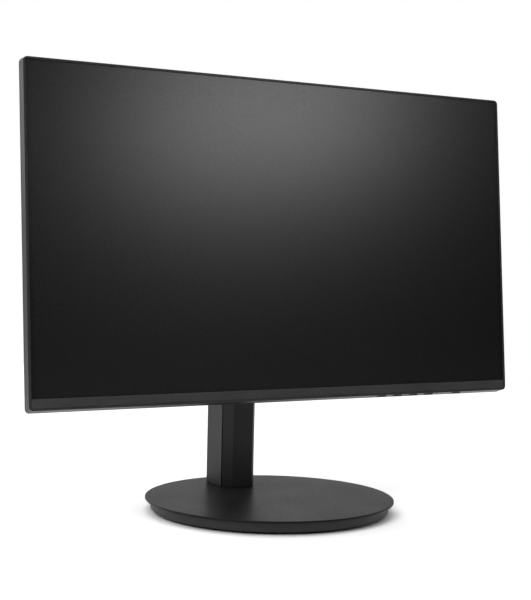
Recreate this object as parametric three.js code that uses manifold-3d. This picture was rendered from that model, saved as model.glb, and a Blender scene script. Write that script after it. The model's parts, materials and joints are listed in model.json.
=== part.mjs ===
// A 24 inch class flat monitor with slim bezels, on a lifting column and a round base.
// Millimetres, +Z up, +X to the right of someone who looks at the screen, which faces -Y.
// The origin is the centre of the base, on the surface that it stands on.
import * as THREE from "three";
import { mergeVertices } from "three/addons/utils/BufferGeometryUtils.js";
import Module from "manifold-3d";

const wasm = await Module();
wasm.setup();

// ---------------------------------------------------------------- driving dimensions

const gap = 0.3; // between pieces that sit against each other or run in each other
const slack = 0.1; // more room where a piece drops into another
const cut = 1; // how far a cutting solid runs past the face that it opens
const overlap = 1; // how far solids that are joined run into each other

// Screen frame. Its own axes: X across, Y behind the front face, Z up the front face
// from the lower edge of the chin.
const screenWidth = 540;
const screenHeight = 310;
const tilt = THREE.MathUtils.degToRad(5); // the screen leans back at rest
const screenFrontY = -38.6; // of the chin's lower front edge
const screenLowZ = 117.4; // of the chin's lower front edge
const frameDepth = 8.6;
const frameCorner = 4.2;
const cornerSteps = 5; // flat steps that make up each rounded corner of the frame
const frameWall = 1.8;
const lipThick = 0.8;
const sideLip = 2.5;
const topLip = 2;
const lowLip = 2; // height of the frame's lip under the chin
const undersideDrop = 2.6; // how much lower the underside is at the back than at the front
const lowWallTop = -1; // inner face of the frame's lower wall
const chinHeight = 8.4;
const chinThick = 2.2;

// Panel, from the glass backwards
const glassSetBack = 0.5;
const glassThick = 1.8;
const filmThick = 0.6;
const guideThick = 2.2;
const reflectorThick = 0.3;
const trayThick = 0.8;
const trayLow = 2.4; // lower edge of the tray above the chin's lower edge
const filmInset = 0.6; // between the tray's wall and what lies in it
const ledHeight = 2.8;

// Rear cover
const coverWall = 2.2;
const bulgeDepth = 40; // from the front face to the bulge's flat back
const bulgeHalfWidth = 195;
const bulgeLow = 24;
const bulgeHigh = 262;
const bulgeSideSlope = 35;
const bulgeLowSlope = 28;
const bulgeHighSlope = 34;
const bulgeCorner = 14;
const portShelf = 72; // height of the shelf that the sockets open through
const portHalfWidth = 124;
const ventCount = 36;
const ventPitch = 8;
const ventWidth = 3;
const ventLow = 237;
const ventLength = 16;
const lockSlot = { x: 141, low: 58, width: 7, height: 3.2 };

// Stand fixing and hinge
const fixingHeight = 155; // centre of the four-screw fixing above the chin's lower edge
const fixingPitch = 100;
const fixingPlate = 118;
const recessDepth = 6;
const plateThick = 2.5;
const pivotBehindFront = 58; // tilt axis behind the front face
const pinRadius = 5;
const pinHeadRadius = 8;
const pinHeadThick = 3.7;
const pinProud = 1; // how far the pin's end stands out of its nut
const barrelRadius = 12;
const barrelHalfLength = 13;
const washerInset = 1; // how much smaller a washer is than the barrel
const washerThick = 2.4;
const earThick = 3;
const earRadius = 13;
const earHalfHeight = 22;
const earFoot = 4; // straight part of an ear's edge, next to the plate
const earNose = 2; // how far an ear's flanks run past the tilt axis
const mountScrew = { radius: 2, headRadius: 4, headThick: 2.2, length: 15 };

// Electronics
const chassisFront = 9.8;
const chassisThick = 1.2;
const chassisHalfWidth = 150;
const chassisLow = 80;
const chassisHigh = 240;
const bossRadius = 5.5;
const boardFront = 15;
const boardThick = 1.6;
const boardMargin = 4;
const boardDrop = 2; // how far the boards stand below the chassis
const boardSplit = 15; // half of the space between the two boards
const mainBoardHigh = 165;
const postRadius = 2.5;
const bossClearance = 2; // between a boss and the edge of the hole in a board
const componentGap = 0.9; // between the tallest component and the end of the bosses
const capacitorRadius = 8;
const capacitorPlaces = [-95, -75]; // across, in line with the coil
const capacitorHeight = 150; // centres above the chin's lower edge

// Components on the boards: centre, size across and up, and height off the board
const heatSink = { at: [100, 128], size: [30, 30], tall: 9 };
const memoryChip = { at: [128, 105], size: [14, 10], tall: 1.4 };
const scalerChip = { at: [66, 138], size: [16, 12], tall: 1.4 };
const panelPlug = { at: [60, 158], size: [30, 6], tall: 5 };
const keyPlug = { at: [128, 155], size: [20, 6], tall: 5 };
const ledPlug = { at: [-80, 226], size: [40, 6], tall: 6 };
const transformer = { at: [-98, 190], size: [34, 30], below: 0 };
const coil = { at: [-122, 150], size: [18, 26], below: 2 };
const fin = { at: [-30, 155], size: [5, 40], below: 1 };

// Sockets: centre across, width across, thickness from front to back, and what is in the mouth
const socketLength = 17;
const socketWall = 0.9;
const socketMouth = 10; // depth of a screened socket's mouth
const tongueThick = 1;
const tongueSetBack = 2;
const inlet = { x: -95, width: 28, thick: 20, wall: 1.6, length: 20, depth: 16 };
const inletPin = { apart: 7, outer: -2, earth: 3, thick: 2, deep: 4, setBack: 4 };
const hdmi = { x: 30, width: 15.8, thick: 6.6, tongue: 10.4 };
const displayPort = { x: 66, width: 18, thick: 6.6, tongue: 12.6 };
const audio = { x: 98, width: 8, thick: 7, bore: 1.8, depth: 14 };

// Keys on the underside, at the right
const keyPlaces = { menu: 110, left: 130, right: 150, input: 170, power: 206 };
const lightPlace = 191;
const lightHalfWidth = 1.5;
const lightInset = 0.7; // the light's lens is this much narrower than a key, front and back
const lightProud = 0.2;
const keyHalfWidth = 4.7;
const keyInset = 1.3; // from the back of the frame to the back of a key
const keyDeep = 3.8;
const keyProud = 0.8;
const keyFlange = 1;
const keyFlangeThick = 0.8;
const keyBoardLow = 1;
const keyBoardThick = 1;

// Base
const discRadius = 124;
const discTop = 14;
const discThick = 2.5;
const discChamfer = 0.7;
const ringInset = 5.3; // how far the disc overhangs the ring
const ringWall = 2.4;
const ringFloor = 2;
const ringFoot = 1.5; // chamfer at the ring's lower edge
const padThick = 2;
const padRadius = 8;
const padCount = 5;
const padInset = 14.7; // from the ring's edge to the centre of a pad
const weightInset = 14.9; // from the ring's edge to the weight's edge
const weightThick = 4.8;
const swivelRadius = 7;
const swivelGap = 1;
const studRadius = 3;
const retainerRadius = 12;
const retainerThick = 1.6;
const glideInner = 30;
const glideOuter = 50;

// Column
const columnHalfWidth = 19.4;
const columnFrontY = 55.2;
const columnFacet = { across: 7.8, deep: 10 }; // between the front and a side
const columnDepth = 43.4;
const columnCorner = 2.6;
const columnTop = 372;
const columnWall = 2.1;
const capThick = 3;
const slotHalfWidth = 9;
const slotMargin = 3;
const railThick = 1.5;
const railDepth = 21;
const railFoot = 5; // height of the foot bracket that the rail stands on
const bracketHalfWidth = 16;
const bracketDepth = 20;
const bracketThick = 4;
const footScrew = { x: 11, radius: 2, headRadius: 4.2, headThick: 1.3 };
const clip = { height: 150, tall: 16, halfWidth: 14, depth: 14, wall: 2.4, mouth: 6 };

// Lift
const liftTravel = 65; // up and down from rest
const carriageHalfHeight = 32;
const carriageDepth = 17.4;
const padWide = 3.1;
const neckHalfWidth = 7;
const neckHalfHeight = 18;
const neckReach = 15; // of the neck's full height, behind the tilt axis
const neckInset = 1; // how much thinner the neck is than the barrel, at the tilt axis
const flangeHalfWidth = 11;
const flangeHalfHeight = 28;
const flangeThick = 3.7;
const armScrew = { offset: 23, radius: 1.8, headRadius: 3.4, headThick: 2.4, length: 9 };
const strutRadius = 8;
const rodRadius = 3.5;
const rodSink = 10; // how deep the rod's end sits in the carriage
const strutFloor = 5;

// ---------------------------------------------------------------- finishes

const finishes = {
  frame: { color: 0x2b2b2c, roughness: 0.55, metalness: 0 },
  chin: { color: 0x303031, roughness: 0.7, metalness: 0 },
  glass: { color: 0x0a0a0b, roughness: 0.25, metalness: 0 },
  film: { color: 0xe9ebea, roughness: 0.5, metalness: 0 },
  acrylic: { color: 0xdfe6e8, roughness: 0.15, metalness: 0 },
  steel: { color: 0x9a9c9e, roughness: 0.35, metalness: 1 },
  coated: { color: 0x232324, roughness: 0.6, metalness: 0.2 },
  cover: { color: 0x262627, roughness: 0.65, metalness: 0 },
  board: { color: 0x1d5a3a, roughness: 0.5, metalness: 0 },
  rubber: { color: 0x151515, roughness: 0.9, metalness: 0 },
  nylon: { color: 0xd8d8d2, roughness: 0.6, metalness: 0 },
  socket: { color: 0x151516, roughness: 0.5, metalness: 0 },
  lens: { color: 0xcfd4d6, roughness: 0.2, metalness: 0 },
};

// ---------------------------------------------------------------- solids

// A closed geometry as a solid that can be joined and cut.
function solid(geometry) {
  const bare = geometry.clone();
  bare.deleteAttribute("normal");
  bare.deleteAttribute("uv");
  const merged = mergeVertices(bare, 1e-4);
  const vertProperties = merged.attributes.position.array;
  const triVerts = new Uint32Array(merged.index.array);
  return new wasm.Manifold(new wasm.Mesh({ numProp: 3, vertProperties, triVerts }));
}

function geometryOf(made) {
  const mesh = made.getMesh();
  const geometry = new THREE.BufferGeometry();
  geometry.setAttribute("position", new THREE.BufferAttribute(mesh.vertProperties, 3));
  geometry.setIndex(new THREE.BufferAttribute(mesh.triVerts, 1));
  const flat = geometry.toNonIndexed();
  flat.computeVertexNormals();
  return flat;
}

function join(pieces) {
  return pieces.reduce((whole, piece) => whole.add(piece));
}

function without(whole, cutters) {
  return cutters.reduce((left, cutter) => left.subtract(cutter), whole);
}

// A block between two opposite corners.
function block(low, high) {
  const size = high.map((value, i) => value - low[i]);
  const middle = high.map((value, i) => (value + low[i]) / 2);
  return solid(new THREE.BoxGeometry(...size).translate(...middle));
}

// A round bar along an axis, at its place in the other two axes.
function bar(axis, radius, from, to, [u, v], sides = 20) {
  const geometry = new THREE.CylinderGeometry(radius, radius, to - from, sides);
  const middle = (from + to) / 2;
  if (axis === "x") geometry.rotateZ(Math.PI / 2).translate(middle, u, v);
  if (axis === "y") geometry.translate(u, middle, v);
  if (axis === "z") geometry.rotateX(Math.PI / 2).translate(u, v, middle);
  return solid(geometry);
}

// An outline in two axes, extruded along the third.
function extruded(shape, axis, from, to) {
  const x = new THREE.Vector3(1, 0, 0);
  const y = new THREE.Vector3(0, 1, 0);
  const z = new THREE.Vector3(0, 0, 1);
  const options = { depth: to - from, bevelEnabled: false, curveSegments: 5 };
  const geometry = new THREE.ExtrudeGeometry(shape, options);
  const turned = new THREE.Matrix4();
  if (axis === "x") turned.makeBasis(y, z, x).setPosition(from, 0, 0);
  if (axis === "y") turned.makeBasis(x, z, y.clone().negate()).setPosition(0, to, 0);
  if (axis === "z") turned.setPosition(0, 0, from);
  return solid(geometry.applyMatrix4(turned));
}

function outline(points) {
  return new THREE.Shape(points.map(([u, v]) => new THREE.Vector2(u, v)));
}

function roundedRect(u0, u1, v0, v1, radius) {
  const shape = new THREE.Shape();
  const quarter = Math.PI / 2;
  shape.absarc(u1 - radius, v0 + radius, radius, -quarter, 0);
  shape.absarc(u1 - radius, v1 - radius, radius, 0, quarter);
  shape.absarc(u0 + radius, v1 - radius, radius, quarter, 2 * quarter);
  shape.absarc(u0 + radius, v0 + radius, radius, 2 * quarter, 3 * quarter);
  shape.closePath();
  return shape;
}

// A solid of revolution about Z from [radius, height] points, listed from the bottom up.
function turned(points, sides = 72) {
  const profile = points.map(([r, z]) => new THREE.Vector2(r, z));
  return solid(new THREE.LatheGeometry(profile, sides).rotateX(Math.PI / 2));
}

function part(name, made, finish) {
  const mesh = new THREE.Mesh(geometryOf(made), new THREE.MeshStandardMaterial(finish));
  mesh.name = name;
  return mesh;
}

function group(meshes) {
  const made = new THREE.Group();
  made.add(...meshes);
  return made;
}

// ---------------------------------------------------------------- places that follow

const halfWidth = screenWidth / 2;
const totalDepth = frameDepth + gap + coverWall; // at the rim
const keyBack = frameDepth - keyInset;
const keyFront = keyBack - keyDeep;
const lightFront = keyFront + lightInset;
const lightBack = keyBack - lightInset;
const bottomEdge = -lowLip - undersideDrop;
const discLow = discTop - discThick;
const ringRadius = discRadius - ringInset;
const weightRadius = ringRadius - weightInset;
const padCircle = ringRadius - padInset;
const ringTop = discLow - gap;
const ringLow = padThick + gap;
const weightLow = ringLow + ringFloor + gap;
const weightTop = weightLow + weightThick;
const columnLow = discTop + gap;
const columnBackY = columnFrontY + columnDepth;
const coverBackY = columnFrontY + columnFacet.deep;
const columnFace = columnHalfWidth - columnFacet.across; // half width of the flat front
const housingInnerX = columnHalfWidth - columnWall;
const housingInnerY = columnBackY - columnWall;

// A place on the tilted screen, as world [y, z].
function fromScreen(behind, up) {
  const y = screenFrontY + up * Math.sin(tilt) + behind * Math.cos(tilt);
  const z = screenLowZ + up * Math.cos(tilt) - behind * Math.sin(tilt);
  return [y, z];
}

const [pivotY, pivotZ] = fromScreen(pivotBehindFront, fixingHeight);
const fixingPlaces = [-1, 1].flatMap((i) =>
  [-1, 1].map((j) => [(i * fixingPitch) / 2, fixingHeight + (j * fixingPitch) / 2]),
);

// Height of the sloped underside at a depth behind the front face.
function undersideAt(behind) {
  const share = (behind - lipThick) / (totalDepth - lipThick);
  return -lowLip - undersideDrop * share;
}

// ---------------------------------------------------------------- screen frame and chin

// The frame's outer block between two depths. The underside slopes, and so do its corners.
function rimBlock(front, back) {
  const corners = [front, back].flatMap((behind) => {
    const low = undersideAt(Math.max(behind, lipThick));
    const shape = roundedRect(-halfWidth, halfWidth, low, screenHeight, frameCorner);
    return shape.getPoints(cornerSteps).map((place) => [place.x, behind, place.y]);
  });
  return wasm.Manifold.hull(corners);
}

function keySlots() {
  const slots = Object.values(keyPlaces).map((x) =>
    block(
      [x - keyHalfWidth - gap, keyFront - gap, bottomEdge - cut],
      [x + keyHalfWidth + gap, keyBack + gap, lowWallTop + cut / 2],
    ),
  );
  const light = lightBlock(gap, bottomEdge - cut, lowWallTop + cut / 2);
  return [...slots, light];
}

function lightBlock(margin, low, high) {
  const half = lightHalfWidth + margin;
  return block(
    [lightPlace - half, lightFront - margin, low],
    [lightPlace + half, lightBack + margin, high],
  );
}

function screenFrame() {
  const inner = halfWidth - frameWall;
  const whole = rimBlock(0, lipThick).add(rimBlock(lipThick, frameDepth));
  const cavity = block(
    [-inner, lipThick, lowWallTop],
    [inner, frameDepth + cut, screenHeight - frameWall],
  );
  const window = block(
    [-halfWidth + sideLip, -cut, -gap],
    [halfWidth - sideLip, frameDepth, screenHeight - topLip],
  );
  return without(whole, [cavity, window, ...keySlots()]);
}

function chinStrip() {
  const end = halfWidth - sideLip - gap;
  return block([-end, 0, 0], [end, chinThick, chinHeight]);
}

// ---------------------------------------------------------------- panel

const trayEnd = halfWidth - frameWall - gap - slack;
const trayTop = screenHeight - frameWall - gap - slack;
const filmFront = glassSetBack + glassThick + gap;
const guideFront = filmFront + filmThick + gap;
const reflectorFront = guideFront + guideThick + gap;
const trayFront = reflectorFront + reflectorThick + gap;
const trayBack = trayFront + trayThick;
const layEnd = trayEnd - trayThick - filmInset;
const layTop = trayTop - trayThick - filmInset;
const ledLow = trayLow + trayThick + filmInset;
const guideLow = ledLow + ledHeight + gap;

function layer(front, thick, low) {
  return block([-layEnd, front, low], [layEnd, front + thick, layTop]);
}

function lcdPanel() {
  const end = halfWidth - sideLip - gap - slack;
  return block(
    [-end, glassSetBack, chinHeight + gap],
    [end, glassSetBack + glassThick, screenHeight - topLip - gap],
  );
}

function panelTray() {
  const whole = block([-trayEnd, filmFront, trayLow], [trayEnd, trayBack, trayTop]);
  const hollow = block(
    [-trayEnd + trayThick, filmFront - cut, trayLow + trayThick],
    [trayEnd - trayThick, trayFront, trayTop - trayThick],
  );
  return whole.subtract(hollow);
}

function ledStrip() {
  return block([-layEnd, guideFront, ledLow], [layEnd, guideFront + guideThick, ledLow + ledHeight]);
}

// ---------------------------------------------------------------- rear cover

// A rounded block along Y that narrows to the given insets at its far end.
function tapered(inset, front, back) {
  const x = bulgeHalfWidth - inset;
  const low = bulgeLow + inset;
  const high = bulgeHigh - inset;
  const options = { depth: back - front, bevelEnabled: false, curveSegments: 4 };
  const shape = roundedRect(-x, x, low, high, bulgeCorner);
  const geometry = new THREE.ExtrudeGeometry(shape, options);
  const place = geometry.attributes.position;
  const narrow = (x - bulgeSideSlope) / x;
  const flatten = (high - low - bulgeLowSlope - bulgeHighSlope) / (high - low);
  for (let i = 0; i < place.count; i++) {
    const [u, v, w] = [place.getX(i), place.getY(i), place.getZ(i)];
    const far = w > 0;
    const across = far ? u * narrow : u;
    const up = far ? low + bulgeLowSlope + (v - low) * flatten : v;
    place.setXYZ(i, across, w + front, up);
  }
  // Swapping two axes mirrors the block, so each face is turned round again.
  for (let i = 0; i < place.count; i += 3) {
    const second = [place.getX(i + 1), place.getY(i + 1), place.getZ(i + 1)];
    place.setXYZ(i + 1, place.getX(i + 2), place.getY(i + 2), place.getZ(i + 2));
    place.setXYZ(i + 2, ...second);
  }
  return solid(geometry);
}

function portSpace(margin) {
  return block(
    [-portHalfWidth - margin, totalDepth - margin, bottomEdge],
    [portHalfWidth + margin, bulgeDepth + cut, portShelf + margin],
  );
}

function recessSpace(margin) {
  const half = fixingPlate / 2 + gap + margin;
  return block(
    [-half, bulgeDepth - recessDepth - margin, fixingHeight - half],
    [half, bulgeDepth + cut, fixingHeight + half],
  );
}

function vents() {
  return Array.from({ length: ventCount }, (_, i) => {
    const x = (i - (ventCount - 1) / 2) * ventPitch;
    return block(
      [x - ventWidth / 2, totalDepth - coverWall, ventLow],
      [x + ventWidth / 2, bulgeDepth + cut, ventLow + ventLength],
    );
  });
}

function rearCover() {
  const rim = rimBlock(frameDepth + gap, totalDepth);
  const shell = without(tapered(0, frameDepth + gap, bulgeDepth), [portSpace(0), recessSpace(0)]);
  const hollow = without(tapered(coverWall, frameDepth + gap - cut, bulgeDepth - coverWall), [
    portSpace(coverWall),
    recessSpace(coverWall),
  ]);
  const lock = block(
    [lockSlot.x, bulgeDepth - coverWall - cut, lockSlot.low],
    [lockSlot.x + lockSlot.width, bulgeDepth + cut, lockSlot.low + lockSlot.height],
  );
  const screwHoles = fixingPlaces.map((place) =>
    bar("y", mountScrew.radius + gap, bulgeDepth / 2, bulgeDepth, place, 12),
  );
  const cutters = [hollow, lock, ...vents(), ...screwHoles, ...socketSpaces()];
  return without(rim.add(shell), cutters);
}

// ---------------------------------------------------------------- electronics

const chassisBack = chassisFront + chassisThick;
const bossEnd = bulgeDepth - recessDepth - coverWall - gap;
const tallest = bossEnd - componentGap - boardFront - boardThick; // component on a board
const socketFront = boardFront + boardThick + gap;
const boardLow = chassisLow - boardDrop;

function boardCorners(x0, x1, high) {
  const xs = [x0 + boardMargin, x1 - boardMargin];
  const zs = [chassisLow + boardMargin, high - boardMargin];
  return xs.flatMap((x) => zs.map((z) => [x, z]));
}

const boardEnd = chassisHalfWidth - boardMargin;
const powerBoardHigh = chassisHigh - boardMargin;
const postPlaces = [
  ...boardCorners(-boardEnd, -boardSplit, powerBoardHigh),
  ...boardCorners(boardSplit, boardEnd, mainBoardHigh),
];

function electronicsChassis() {
  const sheet = block(
    [-chassisHalfWidth, chassisFront, chassisLow],
    [chassisHalfWidth, chassisBack, chassisHigh],
  );
  const bosses = fixingPlaces.map((place) =>
    bar("y", bossRadius, chassisFront, bossEnd, place, 16),
  );
  const posts = postPlaces.map((place) =>
    bar("y", postRadius, chassisFront, boardFront - gap, place, 8),
  );
  const tip = bulgeDepth - mountScrew.length - 2 * gap;
  const threads = fixingPlaces.map((place) =>
    bar("y", mountScrew.radius + gap, tip - recessDepth, bossEnd + cut, place, 12),
  );
  return without(join([sheet, ...bosses, ...posts]), threads);
}

function bareBoard(x0, x1, high) {
  const sheet = block([x0, boardFront, boardLow], [x1, boardFront + boardThick, high]);
  const holes = fixingPlaces.map((place) =>
    bar("y", bossRadius + bossClearance, boardFront - cut, boardFront + boardThick + cut, place, 12),
  );
  return without(sheet, holes);
}

// A component standing on a board.
function component({ at: [x, z], size: [wide, tall] }, height) {
  return block(
    [x - wide / 2, boardFront + boardThick / 2, z - tall / 2],
    [x + wide / 2, boardFront + boardThick + height, z + tall / 2],
  );
}

function mainBoard() {
  const board = bareBoard(boardSplit, boardEnd, mainBoardHigh);
  const made = [heatSink, memoryChip, scalerChip, panelPlug, keyPlug];
  return join([board, ...made.map((each) => component(each, each.tall))]);
}

function powerBoard() {
  const board = bareBoard(-boardEnd, -boardSplit, powerBoardHigh);
  const blocks = [transformer, coil, fin].map((each) => component(each, tallest - each.below));
  const front = boardFront + boardThick / 2;
  const back = boardFront + boardThick + tallest;
  const capacitors = capacitorPlaces.map((x) =>
    bar("y", capacitorRadius, front, back, [x, capacitorHeight], 12),
  );
  return join([board, component(ledPlug, ledPlug.tall), ...blocks, ...capacitors]);
}

// ---------------------------------------------------------------- sockets

const sockets = [inlet, hdmi, displayPort, audio];
const socketLow = portShelf - gap;

// A socket's outer block, with a margin for the hole that it passes through.
function socketBlock(socket, margin) {
  const length = socket.length ?? socketLength;
  return block(
    [socket.x - socket.width / 2 - margin, socketFront - margin, socketLow - margin],
    [
      socket.x + socket.width / 2 + margin,
      socketFront + socket.thick + margin,
      socketLow + length + margin,
    ],
  );
}

function socketSpaces() {
  return sockets.map((socket) => socketBlock(socket, gap));
}

// A screened socket: a mouth that opens down, with a flat tongue in its middle.
function tongueSocket(socket) {
  const half = socket.width / 2 - socketWall;
  const middle = socketFront + socket.thick / 2;
  const mouth = block(
    [socket.x - half, socketFront + socketWall, socketLow - cut],
    [socket.x + half, socketFront + socket.thick - socketWall, socketLow + socketMouth],
  );
  const tongue = block(
    [socket.x - socket.tongue / 2, middle - tongueThick / 2, socketLow + tongueSetBack],
    [socket.x + socket.tongue / 2, middle + tongueThick / 2, socketLow + socketMouth + overlap],
  );
  return socketBlock(socket, 0).subtract(mouth).add(tongue);
}

function powerInlet() {
  const half = inlet.width / 2 - inlet.wall;
  const front = socketFront + inlet.wall;
  const back = socketFront + inlet.thick - inlet.wall;
  const mouth = block(
    [inlet.x - half, front, socketLow - cut],
    [inlet.x + half, back, socketLow + inlet.depth],
  );
  const middle = (front + back) / 2;
  const { apart, outer, earth, thick, deep, setBack } = inletPin;
  const places = [
    [-apart, outer],
    [0, earth],
    [apart, outer],
  ];
  const pins = places.map(([x, y]) =>
    block(
      [inlet.x + x - thick / 2, middle + y - deep / 2, socketLow + setBack],
      [inlet.x + x + thick / 2, middle + y + deep / 2, socketLow + inlet.depth + overlap],
    ),
  );
  return join([socketBlock(inlet, 0).subtract(mouth), ...pins]);
}

function audioJack() {
  const middle = socketFront + audio.thick / 2;
  const end = socketLow + audio.depth;
  const bore = bar("z", audio.bore, socketLow - cut, end, [audio.x, middle], 16);
  return socketBlock(audio, 0).subtract(bore);
}

// ---------------------------------------------------------------- keys

const keyFlangeLow = lowWallTop + gap;

function key(x) {
  const low = undersideAt((keyFront + keyBack) / 2) - keyProud;
  const cap = block([x - keyHalfWidth, keyFront, low], [x + keyHalfWidth, keyBack, keyFlangeLow + gap]);
  const flange = block(
    [x - keyHalfWidth - keyFlange, keyFront - keyFlange / 2, keyFlangeLow],
    [x + keyHalfWidth + keyFlange, keyBack + keyFlange / 2, keyFlangeLow + keyFlangeThick],
  );
  return cap.add(flange);
}

function keyBoard() {
  const places = Object.values(keyPlaces);
  const margin = 2 * keyHalfWidth;
  return block(
    [Math.min(...places) - margin, chinThick + gap, keyBoardLow],
    [Math.max(...places) + margin, frameDepth - gap, keyBoardLow + keyBoardThick],
  );
}

function powerLight() {
  const low = undersideAt((lightFront + lightBack) / 2) - lightProud;
  return lightBlock(0, low, keyFlangeLow + gap);
}

// ---------------------------------------------------------------- stand fixing and hinge

const plateFront = bulgeDepth - recessDepth + gap;
const plateBack = plateFront + plateThick;
const earInner = barrelHalfLength + washerThick + 2 * gap;
const earOuter = earInner + earThick;
const boreRadius = pinRadius + gap;
const pivotPlace = [pivotBehindFront, fixingHeight];

function pinBore(from, to, place) {
  return bar("x", boreRadius, from, to, place, 24);
}

function ear(from, to) {
  const shape = outline([
    [plateFront, fixingHeight - earHalfHeight],
    [plateBack + earFoot, fixingHeight - earHalfHeight],
    [pivotBehindFront + earNose, fixingHeight - earRadius],
    [pivotBehindFront + earNose, fixingHeight + earRadius],
    [plateBack + earFoot, fixingHeight + earHalfHeight],
    [plateFront, fixingHeight + earHalfHeight],
  ]);
  const web = extruded(shape, "x", from, to);
  const round = bar("x", earRadius, from, to, pivotPlace, 24);
  return web.add(round);
}

function mountPlate() {
  const half = fixingPlate / 2;
  const shape = roundedRect(-half, half, fixingHeight - half, fixingHeight + half, 4);
  const plate = extruded(shape, "y", plateFront, plateBack);
  const holes = fixingPlaces.map((place) =>
    bar("y", mountScrew.radius + gap, plateFront - cut, plateBack + cut, place, 12),
  );
  const ears = [ear(-earOuter, -earInner), ear(earInner, earOuter)];
  const bore = pinBore(-earOuter - cut, earOuter + cut, pivotPlace);
  return without(join([plate, ...ears]), [...holes, bore]);
}

function mountScrewAt(place) {
  const seat = plateBack + gap;
  const shank = bar("y", mountScrew.radius, seat - mountScrew.length, seat + overlap, place, 12);
  const head = bar("y", mountScrew.headRadius, seat, seat + mountScrew.headThick, place, 16);
  return shank.add(head);
}

function tiltPin() {
  const end = earOuter + gap + pinHeadThick + pinProud;
  const shank = bar("x", pinRadius, -earOuter - overlap, end, pivotPlace, 24);
  const head = bar(
    "x",
    pinHeadRadius,
    -earOuter - gap - pinHeadThick,
    -earOuter - gap,
    pivotPlace,
    24,
  );
  return shank.add(head);
}

function tiltNut() {
  const from = earOuter + gap;
  const nut = bar("x", pinHeadRadius, from, from + pinHeadThick, pivotPlace, 6);
  return nut.subtract(pinBore(from - cut, from + pinHeadThick + cut, pivotPlace));
}

function frictionWasher(side) {
  const inner = barrelHalfLength + gap;
  const ends = [side * inner, side * (inner + washerThick)].sort((a, b) => a - b);
  const washer = bar("x", barrelRadius - washerInset, ...ends, pivotPlace, 24);
  return washer.subtract(pinBore(ends[0] - cut, ends[1] + cut, pivotPlace));
}

// ---------------------------------------------------------------- lift

const railHalf = housingInnerX - gap - slack;
const railBack = housingInnerY - gap;
const trackHalf = railHalf - railThick;
const trackBack = railBack - railThick;
const carriageBack = trackBack - gap;
const carriageFront = carriageBack - carriageDepth;
const carriageHalf = trackHalf - 2 * gap - padWide;
const flangeBack = carriageFront - gap;
const flangeFront = flangeBack - flangeThick;
const strutY = carriageBack - carriageDepth / 2;
const bracketTop = columnLow + bracketThick;
const strutLow = bracketTop + gap;
const strutTop = pivotZ - carriageHalfHeight - liftTravel - 2 * gap;

function liftCarriage() {
  const whole = block(
    [-carriageHalf, carriageFront, pivotZ - carriageHalfHeight],
    [carriageHalf, carriageBack, pivotZ + carriageHalfHeight],
  );
  const rodHole = bar(
    "z",
    rodRadius + gap,
    pivotZ - carriageHalfHeight - cut,
    pivotZ - carriageHalfHeight + rodSink,
    [0, strutY],
    12,
  );
  const screwHoles = [-1, 1].map((side) => {
    const place = [0, pivotZ + side * armScrew.offset];
    const end = carriageFront + armScrew.length;
    return bar("y", armScrew.radius + gap, carriageFront - cut, end, place, 12);
  });
  return without(whole, [rodHole, ...screwHoles]);
}

function glidePad(side) {
  const ends = [side * (carriageHalf + gap), side * (trackHalf - gap)].sort((a, b) => a - b);
  return block(
    [ends[0], carriageFront, pivotZ - carriageHalfHeight],
    [ends[1], carriageBack, pivotZ + carriageHalfHeight],
  );
}

function hingeArm() {
  const flange = block(
    [-flangeHalfWidth, flangeFront, pivotZ - flangeHalfHeight],
    [flangeHalfWidth, flangeBack, pivotZ + flangeHalfHeight],
  );
  const neck = extruded(
    outline([
      [pivotY, pivotZ - barrelRadius + neckInset],
      [pivotY + neckReach, pivotZ - neckHalfHeight],
      [flangeFront + cut, pivotZ - neckHalfHeight],
      [flangeFront + cut, pivotZ + neckHalfHeight],
      [pivotY + neckReach, pivotZ + neckHalfHeight],
      [pivotY, pivotZ + barrelRadius - neckInset],
    ]),
    "x",
    -neckHalfWidth,
    neckHalfWidth,
  );
  const place = [pivotY, pivotZ];
  const barrel = bar("x", barrelRadius, -barrelHalfLength, barrelHalfLength, place, 24);
  const screwHoles = [-1, 1].map((side) => {
    const at = [0, pivotZ + side * armScrew.offset];
    return bar("y", armScrew.radius + gap, flangeFront - cut, flangeBack + cut, at, 12);
  });
  const bore = pinBore(-barrelHalfLength - cut, barrelHalfLength + cut, place);
  return without(join([flange, neck, barrel]), [bore, ...screwHoles]);
}

function armScrewAt(side) {
  const place = [0, pivotZ + side * armScrew.offset];
  const seat = flangeFront - gap;
  const shank = bar("y", armScrew.radius, seat - overlap, seat + armScrew.length, place, 12);
  const head = bar("y", armScrew.headRadius, seat - armScrew.headThick, seat, place, 12);
  return shank.add(head);
}

function strutCylinder() {
  const whole = bar("z", strutRadius, strutLow, strutTop, [0, strutY], 20);
  const bore = bar("z", rodRadius + gap, strutLow + strutFloor, strutTop + cut, [0, strutY], 16);
  return whole.subtract(bore);
}

function strutRod() {
  const low = strutLow + strutFloor + liftTravel + gap;
  const high = pivotZ - carriageHalfHeight + rodSink - gap;
  return bar("z", rodRadius, low, high, [0, strutY], 16);
}

// ---------------------------------------------------------------- column

function housingOutline(inset) {
  const x = columnHalfWidth - inset;
  const back = columnBackY - inset;
  const radius = columnCorner - inset;
  const shape = new THREE.Shape();
  shape.moveTo(-x, coverBackY + gap);
  shape.lineTo(x, coverBackY + gap);
  shape.absarc(x - radius, back - radius, radius, 0, Math.PI / 2);
  shape.absarc(-x + radius, back - radius, radius, Math.PI / 2, Math.PI);
  shape.closePath();
  return shape;
}

function columnHousing() {
  const whole = extruded(housingOutline(0), "z", columnLow, columnTop);
  const hollow = extruded(housingOutline(columnWall), "z", columnLow - cut, columnTop + cut);
  const mouth = block(
    [-housingInnerX, coverBackY, columnLow - cut],
    [housingInnerX, coverBackY + 2 * cut, columnTop + cut],
  );
  return without(whole, [hollow, mouth]);
}

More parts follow.
